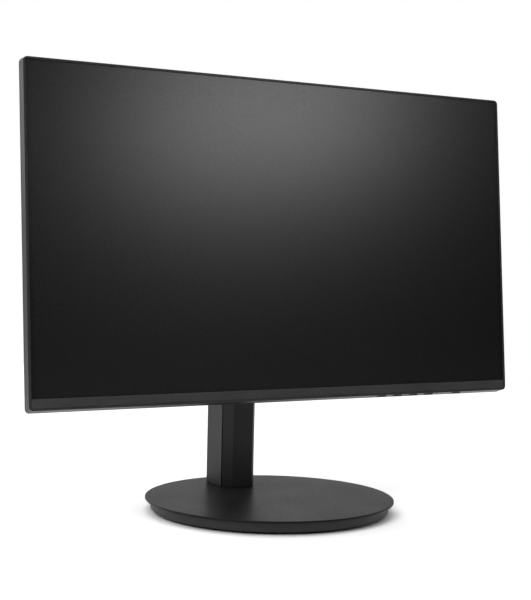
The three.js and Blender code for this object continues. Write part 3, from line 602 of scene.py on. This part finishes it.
finishes = {
    "frame_plastic": surface(
        "satin frame plastic", grey(0.014), worn=grey(0.11), roughness=0.42, grain=0.35 * MM,
        depth=0.01 * MM, dust=0.03, specular=0.4
    ),
    "chin_plastic": surface(
        "grained chin plastic", grey(0.025), worn=grey(0.1), roughness=0.5, grain=0.5 * MM,
        depth=0.03 * MM, uneven=0.6, dust=0.03, specular=0.32
    ),
    "moulded": surface(
        "textured cover plastic", grey(0.011), worn=grey(0.05), roughness=0.55, grain=0.6 * MM,
        depth=0.04 * MM, uneven=0.35, dust=0.05, specular=0.45
    ),
    "powder_coat": surface(
        "powder coat", grey(0.004), worn=grey(0.07), roughness=0.36, grain=0.5 * MM,
        depth=0.02 * MM, uneven=0.25, dust=0.03, wear=0.06, specular=0.13
    ),
    "screen_glass": display_glass("anti-glare panel front"),
    "film": surface(
        "diffuser film", grey(0.78), worn=grey(0.85), roughness=0.5, grain=0.3 * MM,
        depth=0.004 * MM, uneven=0.03
    ),
    "acrylic": clear_plastic("light guide acrylic", (0.85, 0.9, 0.92, 1), roughness=0.08),
    "zinc_steel": metal(
        "zinc-plated steel", (0.52, 0.53, 0.54, 1), roughness=0.36, grain=0.5 * MM
    ),
    "screw_steel": metal("screw steel", (0.46, 0.46, 0.47, 1), roughness=0.3, grain=0.3 * MM),
    "nylon": surface(
        "nylon", (0.66, 0.65, 0.6, 1), worn=grey(0.75), roughness=0.48, grain=0.4 * MM,
        depth=0.01 * MM, uneven=0.04
    ),
    "rubber_pad": surface(
        "foot rubber", grey(0.014), worn=grey(0.03), roughness=0.82, grain=0.6 * MM,
        depth=0.04 * MM, dust=0.12, specular=0.3
    ),
    "circuit_board": circuit_board("circuit board"),
    "socket_plastic": surface(
        "socket plastic", grey(0.012), worn=grey(0.05), roughness=0.38, grain=0.4 * MM,
        depth=0.01 * MM, dust=0.02
    ),
    "socket_shell": metal("socket shell", (0.62, 0.6, 0.56, 1), roughness=0.28, grain=0.3 * MM),
    # The lens's faint glow is a painted glint.
    "lens": clear_plastic("power light lens", (0.8, 0.84, 0.86, 1), roughness=0.12, painted_glint=0.05),
}

slots_of = {name: node.data.materials[0].name for name, node in frame["nodes"].items()}
bodies_of = {name: body_of(node)[0] for name, node in frame["nodes"].items()}
for name, node in frame["nodes"].items():
    node.material_slots[0].material = finishes[slots_of[name]]


def added(made, beside, slot):
    """A finished piece in its material, on the body of the CAD node that it is fixed to."""
    made.data.materials.clear()
    made.data.materials.append(finishes[slot])
    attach(made, bodies_of[beside])


def placed(made, *nodes):
    """A finished piece in place of the CAD nodes that it shows."""
    added(made, nodes[0], slots_of[nodes[0]])
    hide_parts(*nodes)


# ------------------------------------------------------------------ pieces with softened edges

# Width of the rounded edges in millimetres, by CAD node.
EDGE_ROUNDING = {
    "screen_frame": 0.4,
    "chin_strip": 0.25,
    "lcd_panel": 0.15,
    "column_housing": 0.2,
    "column_cap": 0.8,
    "column_bracket": 0.4,
    "slide_rail": 0.3,
    "lift_carriage": 0.6,
    "glide_pad_left": 0.4,
    "glide_pad_right": 0.4,
    "hinge_arm": 0.8,
    "mount_plate": 0.5,
    "tilt_pin": 0.6,
    "tilt_nut": 0.5,
    "friction_washer_left": 0.3,
    "friction_washer_right": 0.3,
    "cable_clip": 0.6,
    "strut_cylinder": 0.5,
    "strut_rod": 0.3,
    "power_inlet": 0.35,
    "hdmi_socket": 0.2,
    "displayport_socket": 0.2,
    "audio_jack": 0.3,
    "power_light": 0.15,
    "key_menu": 0.3,
    "key_left": 0.3,
    "key_right": 0.3,
    "key_input": 0.3,
    "key_power": 0.3,
    "electronics_chassis": 0.3,
    "panel_tray": 0.2,
}

for name, width in EDGE_ROUNDING.items():
    placed(rounded_edges(cad_copy(name, name + "_made"), width * MM), name)

# ------------------------------------------------------------------ base

SIDES = 192  # of the disc and the ring


def column_cover():
    """The column's front, with a shadow groove along the seam to the housing."""
    made = cad_copy("column_cover", "column_cover_made")
    low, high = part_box("column_cover")
    groove = 0.9 * MM  # as wide as it is deep
    past = 1 * MM
    for side in (-1, 1):
        inner, outer = sorted((side * (high.x - groove), side * (high.x + past)))
        cutter = block("groove", (inner, high.y - groove, low.z - past),
                       (outer, high.y + past, high.z + past))
        cut(made, [cutter])
    return tidy(made)


def base_disc():
    """The thin top plate, with a chamfer below its rim."""
    low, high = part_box("base_disc")
    radius = high.x
    under = 0.7 * MM
    points = [(0, low.z), (radius - under, low.z), (radius, low.z + under), (radius, high.z),
              (0, high.z)]
    line = filleted(points, [0, 0.15 * MM, 0.15 * MM, 0.6 * MM, 0], 4)
    return turned("base_disc_made", line, SIDES)


def base_ring():
    """The ring under the plate: a shallow dish with a chamfered lower edge."""
    low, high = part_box("base_ring")
    radius = high.x
    foot = 1.5 * MM
    wall = 2.4 * MM
    floor = low.z + 2 * MM
    points = [
        (0, low.z),
        (radius - foot, low.z),
        (radius, low.z + foot),
        (radius, high.z),
        (radius - wall, high.z),
        (radius - wall, floor),
        (0, floor),
    ]
    line = filleted(points, [0, 0.8 * MM, 0.8 * MM, 0.3 * MM, 0.3 * MM, 0.5 * MM, 0], 3)
    return turned("base_ring_made", line, SIDES)


def rubber_pad(i):
    """A round foot with a shallow hollow in its underside."""
    low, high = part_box(f"rubber_pad_{i}")
    centre = (low + high) / 2
    radius = (high.x - low.x) / 2
    dish = radius * 0.55
    floor = low.z + 0.4 * MM
    points = [
        (0, floor),
        (dish, floor),
        (dish + 0.5 * MM, low.z),
        (radius, low.z),
        (radius, high.z),
        (0, high.z),
    ]
    line = filleted(points, [0, 0.2 * MM, 0.2 * MM, 0.5 * MM, 0.2 * MM, 0], 3)
    return turned(f"rubber_pad_{i}_made", line, 48, centre.xy)


placed(rounded_edges(column_cover(), 0.2 * MM), "column_cover")
placed(weighted(base_disc()), "base_disc")
placed(weighted(base_ring()), "base_ring")
for i in range(1, 6):
    placed(weighted(rubber_pad(i)), f"rubber_pad_{i}")

# ------------------------------------------------------------------ rear cover

# Sizes and places along the screen's own axes.
COVER_WALL = 2.2 * MM
BULGE_HALF_WIDTH = 195 * MM
BULGE_LOW = 24 * MM
BULGE_HIGH = 262 * MM
BULGE_SIDE = 35 * MM  # how far each side slopes in from the bulge's foot to its back
BULGE_UNDER = 28 * MM  # how far the underside slopes in
BULGE_OVER = 34 * MM  # how far the top slopes in
BULGE_CORNER = 14 * MM
BAY = Vector((124, 0, 72)) * MM  # upper right corner of the bay that the sockets look into
LOCK_LEFT, LOCK_RIGHT = 141 * MM, 148 * MM
LOCK_LOW, LOCK_HIGH = 58 * MM, 61.2 * MM
LOCK_DEPTH = 9 * MM
SCREW_HOLE = 2.3 * MM  # radius of the hole, which is a square with round corners
SCREW_HOLE_CORNER = 2.29 * MM
VENT_LOW = 237 * MM
VENT_HIGH = 253 * MM
VENT_HALF_WIDTH = 141.5 * MM
VENT_PITCH = 8 * MM
FRAME_CORNER = 4.2 * MM
LIP_THICK = 0.8 * MM
LOW_LIP = 2 * MM  # height of the frame's lip under the chin
UNDERSIDE_DROP = 2.6 * MM  # how much lower the underside is at the back than at the front
UNDERSIDE_BACK = 11.1 * MM  # where the cover's rim ends, behind the front face
GAP = 0.3 * MM


def underside_at(behind):
    """Height of the frame's sloping underside, some way behind the front face."""
    share = (behind - LIP_THICK) / (UNDERSIDE_BACK - LIP_THICK)
    return -LOW_LIP - UNDERSIDE_DROP * share


def cover_loop(x0, x1, h0, h1, radius, behind):
    return [(u, behind, v) for u, v in rounded_rectangle(x0, x1, h0, h1, radius, 8)]


def tapering_loops(inset, foot, front, back, round_foot, round_top):
    """Loops up the bulge's sloped sides, from its concave foot to its rounded flat back."""
    wide = BULGE_HALF_WIDTH - inset
    low = BULGE_LOW + inset
    high = BULGE_HIGH - inset
    start = (foot - front) / (back - front) * BULGE_SIDE
    points = [(start - 3 * round_foot, foot), (start, foot), (BULGE_SIDE, back),
              (BULGE_SIDE + 3 * round_top, back)]
    loops = []
    for inward, behind in filleted(points, [0, round_foot, round_top, 0], 5):
        share = inward / BULGE_SIDE
        corner = max(BULGE_CORNER * (1 - 0.4 * share), 4 * MM)
        loops.append(cover_loop(inward - wide, wide - inward, low + BULGE_UNDER * share,
                                high - BULGE_OVER * share, corner, behind))
    return loops


def cover_shell():
    """The cover's outside: a thin rim that follows the frame, then the bulge."""
    low, high = screen_box("rear_cover")
    front, back = low.y, high.y
    rim = front + COVER_WALL
    soft = 0.6 * MM
    shoulder = soft * 0.3

    def rim_loop(inset, underside, behind, corner=FRAME_CORNER):
        return cover_loop(low.x + inset, high.x - inset, underside_at(underside) + inset,
                          high.z - inset, corner, behind)

    loops = [
        rim_loop(GAP / 3, front, front),
        rim_loop(0, front + GAP, front + GAP / 2),
        rim_loop(0, rim - soft, rim - soft),
        rim_loop(shoulder, rim, rim - shoulder),
        rim_loop(soft, rim, rim, FRAME_CORNER - soft),
        *tapering_loops(0, rim, front, back, 5 * MM, 7 * MM),
    ]
    return lofted("rear_cover_made", loops, SCREEN)


def cover_hollow(front, back):
    """The room inside the bulge."""
    loops = tapering_loops(COVER_WALL, front, front, back - COVER_WALL, 0.01 * MM, 5 * MM)
    first = [(u, front - MM, v) for u, _, v in loops[0]]
    return lofted("hollow", [first, *loops], SCREEN)


def rear_cover():
    """The hollow cover, with a socket bay, a recess for the mount, and its openings."""
    low, high = screen_box("rear_cover")
    front, back = low.y, high.y
    past = 2 * MM
    plate_low, plate_high = screen_box("mount_plate")
    middle = (plate_low.z + plate_high.z) / 2
    half = (plate_high.x - plate_low.x) / 2 + GAP
    recess_floor = plate_low.y - GAP

    def bay_space(margin):
        side = BAY.x + margin
        return block("bay", (-side, front + COVER_WALL - margin, low.z - 5 * MM),
                     (side, back + past, BAY.z + margin), SCREEN, 4 * MM + margin, 5)

    def recess_space(margin):
        return block("recess", (-half - margin, recess_floor - margin, middle - half - margin),
                     (half + margin, back + past, middle + half + margin), SCREEN,
                     5 * MM + margin, 5)

    shell = cut(cover_shell(), [bay_space(0), recess_space(0)])
    hollow = cut(cover_hollow(front, back), [bay_space(COVER_WALL), recess_space(COVER_WALL)])
    cutters = [
        hollow,
        block("lock slot", (LOCK_LEFT, back - LOCK_DEPTH, LOCK_LOW),
              (LOCK_RIGHT, back + past, LOCK_HIGH), SCREEN, 1 * MM, 4),
        block("vent opening", (-VENT_HALF_WIDTH, front, VENT_LOW),
              (VENT_HALF_WIDTH, back + past, VENT_HIGH), SCREEN, 1.5 * MM, 4),
    ]
    margin = Vector((GAP, GAP, GAP))
    for node in ("power_inlet", "hdmi_socket", "displayport_socket", "audio_jack"):
        near, far = screen_box(node)
        cutters.append(block("socket hole", near - margin, far + margin, SCREEN, 0.4 * MM, 2))
    for i in range(1, 5):
        near, far = screen_box(f"mount_screw_{i}")
        place = (near + far) / 2
        hole = rounded_rectangle(place.x - SCREW_HOLE, place.x + SCREW_HOLE,
                                 place.z - SCREW_HOLE, place.z + SCREW_HOLE,
                                 SCREW_HOLE_CORNER, 6)
        cutters.append(extruded("screw hole", hole, back / 2, back, SCREEN))
    return tidy(cut(shell, cutters))


placed(rounded_edges(rear_cover(), 0.35 * MM, 2, 35), "rear_cover")

# ------------------------------------------------------------------ repeated pieces


class Steps(Nodes):
    """A geometry tree with short calls for the steps that the makers below share."""

    def primitive(self, kind, **inputs):
        named = {key.replace("_", " "): value for key, value in inputs.items()}
        return self.add(kind, named).outputs[0]

    def vector(self, x=0.0, y=0.0, z=0.0):
        return self.add("ShaderNodeCombineXYZ", {0: x, 1: y, 2: z}).outputs[0]

    def moved(self, geometry, x=0.0, y=0.0, z=0.0):
        made = self.add("GeometryNodeTransform", {"Geometry": geometry})
        self.give(made.inputs["Translation"], self.vector(x, y, z))
        return made.outputs[0]

    def combine(self, how, first, *others):
        made = self.add("GeometryNodeMeshBoolean", operation=how, solver="EXACT")
        if how == "DIFFERENCE":
            self.give(made.inputs["Mesh 1"], first)
        for geometry in others if how == "DIFFERENCE" else (first, *others):
            self.tree.links.new(geometry, made.inputs["Mesh 2"])
        return made.outputs[0]

    def finished(self, points, shape, given):
        """Puts the shape on the points, makes it real and gives it its material."""
        instances = self.add("GeometryNodeInstanceOnPoints", {"Points": points, "Instance": shape})
        real = self.add("GeometryNodeRealizeInstances", {"Geometry": instances.outputs[0]})
        painted = self.add("GeometryNodeSetMaterial", {"Geometry": real.outputs[0]})
        self.give(painted.inputs["Material"], given["Material"])
        end = self.add("NodeGroupOutput")
        self.give(end.inputs[0], painted.outputs[0])


def geometry_tree(name, inputs):
    """A tree whose named inputs are the places, the material and the given sizes."""
    tree = bpy.data.node_groups.new(name, "GeometryNodeTree")
    tree.interface.new_socket(
        name="Geometry", in_out="OUTPUT", socket_type="NodeSocketGeometry"
    )
    tree.interface.new_socket(name="Places", in_out="INPUT", socket_type="NodeSocketGeometry")
    tree.interface.new_socket(name="Material", in_out="INPUT", socket_type="NodeSocketMaterial")
    for socket, value in inputs.items():
        made = tree.interface.new_socket(name=socket, in_out="INPUT", socket_type=FLOAT)
        made.default_value = value
    steps = Steps(tree)
    return tree, steps, steps.add("NodeGroupInput").outputs


def screw_tree():
    """A pan-head machine screw along Z, its seat at the place, with a cross recess."""
    tree, steps, given = geometry_tree(
        "pan-head screw",
        {
            "Head Radius": 4 * MM,
            "Head Height": 2.2 * MM,
            "Shank Radius": 2 * MM,
            "Shank Length": 10 * MM,
            "Recess Width": 0.8 * MM,
        },
    )
    radius, height = given["Head Radius"], given["Head Height"]
    rim = steps.math("MULTIPLY", height, 0.6)
    dome = steps.math("MULTIPLY", height, 0.4)
    head = steps.primitive("GeometryNodeMeshCylinder", Vertices=32, Radius=radius, Depth=rim)
    head = steps.moved(head, z=steps.math("MULTIPLY", rim, 0.5))
    shoulder = steps.math("MULTIPLY", radius, 0.7)
    crown = steps.primitive(
        "GeometryNodeMeshCone", Vertices=32, Radius_Top=shoulder, Radius_Bottom=radius, Depth=dome
    )
    crown = steps.moved(crown, z=rim)
    length = steps.math("ADD", given["Shank Length"], dome)
    shank = steps.primitive(
        "GeometryNodeMeshCylinder", Vertices=16, Radius=given["Shank Radius"], Depth=length
    )
    sink = steps.math("MULTIPLY", length, -0.5)
    shank = steps.moved(shank, z=steps.math("ADD", sink, dome))
    whole = steps.combine("UNION", head, crown, shank)
    reach = steps.math("MULTIPLY", radius, 1.05)
    depth = steps.math("MULTIPLY", height, 1.2)
    size = steps.vector(reach, given["Recess Width"], depth)
    first = steps.primitive("GeometryNodeMeshCube", Size=size)
    size = steps.vector(given["Recess Width"], reach, depth)
    second = steps.primitive("GeometryNodeMeshCube", Size=size)
    recess = steps.moved(steps.combine("UNION", first, second), z=height)
    steps.finished(given["Places"], steps.combine("DIFFERENCE", whole, recess), given)
    return tree


def bar_tree():
    """Bars along Y with chamfered upper edges, their tops at the places."""
    tree, steps, given = geometry_tree(
        "row of bars",
        {"Width": 5 * MM, "Length": 16 * MM, "Thickness": 2 * MM, "Chamfer": 0.6 * MM},
    )
    width, thick, chamfer = given["Width"], given["Thickness"], given["Chamfer"]
    size = steps.vector(width, given["Length"], thick)
    box = steps.primitive("GeometryNodeMeshCube", Size=size, Vertices_Z=3)
    place = steps.add("GeometryNodeInputPosition").outputs[0]
    apart = steps.add("ShaderNodeSeparateXYZ", {0: place}).outputs
    quarter = steps.math("MULTIPLY", thick, 0.25)
    is_top = steps.math("GREATER_THAN", apart["Z"], quarter)
    is_high = steps.math("GREATER_THAN", apart["Z"], steps.math("MULTIPLY", quarter, -1.0))
    is_middle = steps.math("SUBTRACT", is_high, is_top)
    share = steps.math("DIVIDE", steps.math("MULTIPLY", chamfer, -2.0), width)
    inward = steps.math("MULTIPLY", steps.math("MULTIPLY", apart["X"], share), is_top)
    rise = steps.math("SUBTRACT", steps.math("MULTIPLY", thick, 0.5), chamfer)
    offset = steps.vector(inward, 0.0, steps.math("MULTIPLY", rise, is_middle))
    shaped = steps.add("GeometryNodeSetPosition", {"Geometry": box, "Offset": offset}).outputs[0]
    lowered = steps.moved(shaped, z=steps.math("MULTIPLY", thick, -0.5))
    steps.finished(given["Places"], lowered, given)
    return tree


SCREW = screw_tree()
BARS = bar_tree()
SMALL_EDGE = 0.08 * MM  # width of the rounded edges on what the makers make


def repeated(name, tree, places, slot, turn, **sizes):
    """Runs a geometry tree on places in its own axes, and turns the plain mesh into the model's."""
    mesh = bpy.data.meshes.new(name)
    mesh.from_pydata([tuple(place) for place in places], [], [])
    made = object_of(name, mesh)
    modifier = made.modifiers.new(name, "NODES")
    modifier.node_group = tree
    given = {"Material": finishes[slot]}
    given.update({key.replace("_", " "): value for key, value in sizes.items()})
    for item in tree.interface.items_tree:
        if item.in_out == "INPUT" and item.name in given:
            modifier[item.identifier] = given[item.name]
    baked(made)
    made.data.transform(turn)
    return rounded_edges(made, SMALL_EDGE, 1, 30)


# A maker's own Z points the way that the screw heads or the bars' tops face.
TO_SCREEN_BACK = SCREEN @ Matrix(((1, 0, 0, 0), (0, 0, 1, 0), (0, -1, 0, 0), (0, 0, 0, 1)))
TO_FRONT = Matrix(((1, 0, 0, 0), (0, 0, -1, 0), (0, 1, 0, 0), (0, 0, 0, 1)))
TO_FLOOR = Matrix(((1, 0, 0, 0), (0, -1, 0, 0), (0, 0, -1, 0), (0, 0, 0, 1)))


def screws(name, nodes, turn, head_radius, head_height, shank_radius, shank_length, recess):
    """Screws in place of CAD nodes, the top of each head where its node ends."""
    places = []
    for node in nodes:
        low, high = box_along(turn, node)
        middle = (low + high) / 2
        places.append((middle.x, middle.y, high.z - head_height))
    made = repeated(name, SCREW, places, "screw_steel", turn, Head_Radius=head_radius,
                    Head_Height=head_height, Shank_Radius=shank_radius,
                    Shank_Length=shank_length, Recess_Width=recess)
    placed(made, *nodes)


def vent_slats():
    """Slats across the opening in the bulge's upper slope, a little below its surface."""
    low, high = screen_box("rear_cover")
    slope = Vector((0, high.y - low.y, -BULGE_OVER))
    down = slope.normalized()
    outward = Vector((1, 0, 0)).cross(down)
    share = (BULGE_HIGH - (VENT_LOW + VENT_HIGH) / 2) / BULGE_OVER
    sunk = 0.4 * MM
    middle = Vector((0, low.y, BULGE_HIGH)) + slope * share - outward * sunk
    turn = Matrix((Vector((1, 0, 0)), down, outward)).transposed().to_4x4()
    count = round(2 * VENT_HALF_WIDTH / VENT_PITCH)
    places = [((i - (count - 1) / 2) * VENT_PITCH, 0, 0) for i in range(count)]
    seated = 3 * MM  # of a slat's length, in the wall above and below the opening
    length = (VENT_HIGH - VENT_LOW) * slope.length / BULGE_OVER + seated
    return repeated("vent_slats", BARS, places, "moulded",
                    SCREEN @ Matrix.Translation(middle) @ turn,
                    Width=5 * MM, Length=length, Thickness=1.8 * MM, Chamfer=0.5 * MM)


def contacts(node, count, pitch, side):
    """Spring contacts on one face of the tongue in a screened socket."""
    low, high = screen_box(node)
    centre = (low.x + high.x) / 2
    half_tongue = 0.6 * MM
    face = (low.y + high.y) / 2 + side * half_tongue
    turn = Matrix(((1, 0, 0, 0), (0, 0, side, 0), (0, -side, 0, 0), (0, 0, 0, 1)))
    places = [
        (centre + (i - (count - 1) / 2) * pitch, -side * (low.z + 5 * MM), side * face)
        for i in range(count)
    ]
    return repeated(f"{node}_contacts_{'back' if side > 0 else 'front'}", BARS, places,
                    "socket_shell", SCREEN @ turn, Width=0.5 * pitch, Length=5 * MM,
                    Thickness=0.25 * MM, Chamfer=0.06 * MM)


screws("mount_screws", [f"mount_screw_{i}" for i in range(1, 5)], TO_SCREEN_BACK,
       head_radius=4 * MM, head_height=2.2 * MM, shank_radius=2 * MM, shank_length=15 * MM,
       recess=0.9 * MM)
screws("arm_screws", ["arm_screw_upper", "arm_screw_lower"], TO_FRONT,
       head_radius=3.4 * MM, head_height=2.4 * MM, shank_radius=1.8 * MM, shank_length=9 * MM,
       recess=0.8 * MM)
screws("foot_screws", ["foot_screw_left", "foot_screw_right"], TO_FLOOR,
       head_radius=4.2 * MM, head_height=1.3 * MM, shank_radius=2 * MM, shank_length=5 * MM,
       recess=0.9 * MM)
added(vent_slats(), "rear_cover", "moulded")
for node, count, pitch in (("hdmi_socket", 10, 1 * MM), ("displayport_socket", 10, 1.2 * MM)):
    added(contacts(node, count, pitch, 1), node, "socket_shell")
    added(contacts(node, count - 1, pitch, -1), node, "socket_shell")

# ------------------------------------------------------------------ floor, light and camera


FLOOR_CENTRE = (0, 0.35)
FLOOR_RADIUS = 1.3


def floor():
    """White paper, round and not wide, so that the monitor doesn't mirror its far parts."""
    outline = arc(FLOOR_CENTRE, FLOOR_RADIUS, 0, 360, 96)[:-1]
    vertices = [(x, y, 0) for x, y in outline]
    made = object_of("floor", mesh_from("floor", vertices, [tuple(range(len(vertices)))]))
    material, nodes, shader, place = started("paper floor")
    texture = in_group(nodes, GRAIN, Place=place, Grain_Size=2 * MM, Patch_Size=500 * MM)
    nodes.give(shader.inputs["Base Color"], nodes.mix(texture["Patch"], grey(0.96), grey(0.98)))
    shader.inputs["Roughness"].default_value = 0.9
    shader.inputs["Specular IOR Level"].default_value = 0.2
    made.data.materials.append(material)


def softbox(name, place, target, size, power):
    light = bpy.data.lights.new(name, "AREA")
    light.shape = "RECTANGLE"
    light.size, light.size_y = size
    light.energy = power
    made = bpy.data.objects.new(name, light)
    bpy.context.scene.collection.objects.link(made)
    made.location = place
    made.rotation_euler = (Vector(target) - Vector(place)).to_track_quat("-Z", "Y").to_euler()


# How the surroundings change along an axis: from where, to where, and the strength at each.
FRONT_TO_BACK = (-0.25, 0.6, 0.03, 0.54)
TO_THE_RIGHT = (0.58, 0.72, 1.0, 0.12)
UPWARD = (0.5, 0.85, 0.0, 1.5)


def studio_world():
    """White to the camera; to the object, bright behind and above, dim in front and right."""
    world = bpy.data.worlds.new("studio")
    world.use_nodes = True
    world.node_tree.nodes.clear()
    nodes = Nodes(world.node_tree)
    way = nodes.add("ShaderNodeTexCoord").outputs["Generated"]
    apart = nodes.add("ShaderNodeSeparateXYZ", {"Vector": way}).outputs
    behind = nodes.spread(apart["Y"], *FRONT_TO_BACK)
    beside = nodes.spread(apart["X"], *TO_THE_RIGHT)
    behind = nodes.math("MULTIPLY", behind, beside)
    above = nodes.spread(apart["Z"], *UPWARD)
    all_round = nodes.math("ADD", behind, above)
    dim = nodes.add("ShaderNodeBackground", {"Color": grey(1.0), "Strength": all_round})
    white = nodes.add("ShaderNodeBackground", {"Color": grey(1.0), "Strength": 1.0})
    seen = nodes.add("ShaderNodeLightPath").outputs["Is Camera Ray"]
    mixed = nodes.add("ShaderNodeMixShader", {0: seen, 1: dim.outputs[0], 2: white.outputs[0]})
    nodes.add("ShaderNodeOutputWorld", {"Surface": mixed.outputs[0]})
    bpy.context.scene.world = world


SENSOR_WIDTH = 36  # in millimetres, as is the focal length
FOCAL_LENGTH = 81.24
CAMERA_AZIMUTH, CAMERA_ELEVATION, CAMERA_ROLL = -30.887, 2.295, 1.261  # degrees
CAMERA_DISTANCE = 1.34077
CAMERA_TARGET = Vector((-0.009563, 0, 0.210346))


def camera():
    lens = bpy.data.cameras.new("camera")
    lens.sensor_width = SENSOR_WIDTH
    lens.lens = FOCAL_LENGTH
    lens.clip_start = 0.05
    lens.clip_end = 60
    made = bpy.data.objects.new("camera", lens)
    bpy.context.scene.collection.objects.link(made)
    azimuth = math.radians(CAMERA_AZIMUTH)
    elevation = math.radians(CAMERA_ELEVATION)
    roll = math.radians(CAMERA_ROLL)
    away = Vector((
        math.sin(azimuth) * math.cos(elevation),
        -math.cos(azimuth) * math.cos(elevation),
        math.sin(elevation),
    ))
    made.location = CAMERA_TARGET + away * CAMERA_DISTANCE
    level = away.to_track_quat("Z", "Y")
    made.rotation_euler = (level @ Matrix.Rotation(roll, 3, "Z").to_quaternion()).to_euler()
    bpy.context.scene.camera = made


floor()
studio_world()
softbox("high softbox", (1.06, -1.81, 0.93), target=(0, 0, 0.4), size=(0.6, 0.3), power=4.8)
softbox("rear softbox", (-1.25, 2.1, 0.95), target=(-0.2, 0, 0.35), size=(1.4, 1.2), power=5)
softbox("top light", (-0.3, 0.5, 2.4), target=(0, 0.1, 0), size=(2.6, 2.2), power=16)
softbox("left light", (-1.3, -0.7, 1.0), target=(-0.2, 0, 0.3), size=(0.7, 0.7), power=10)
camera()
bpy.context.scene.view_settings.view_transform = "Standard"
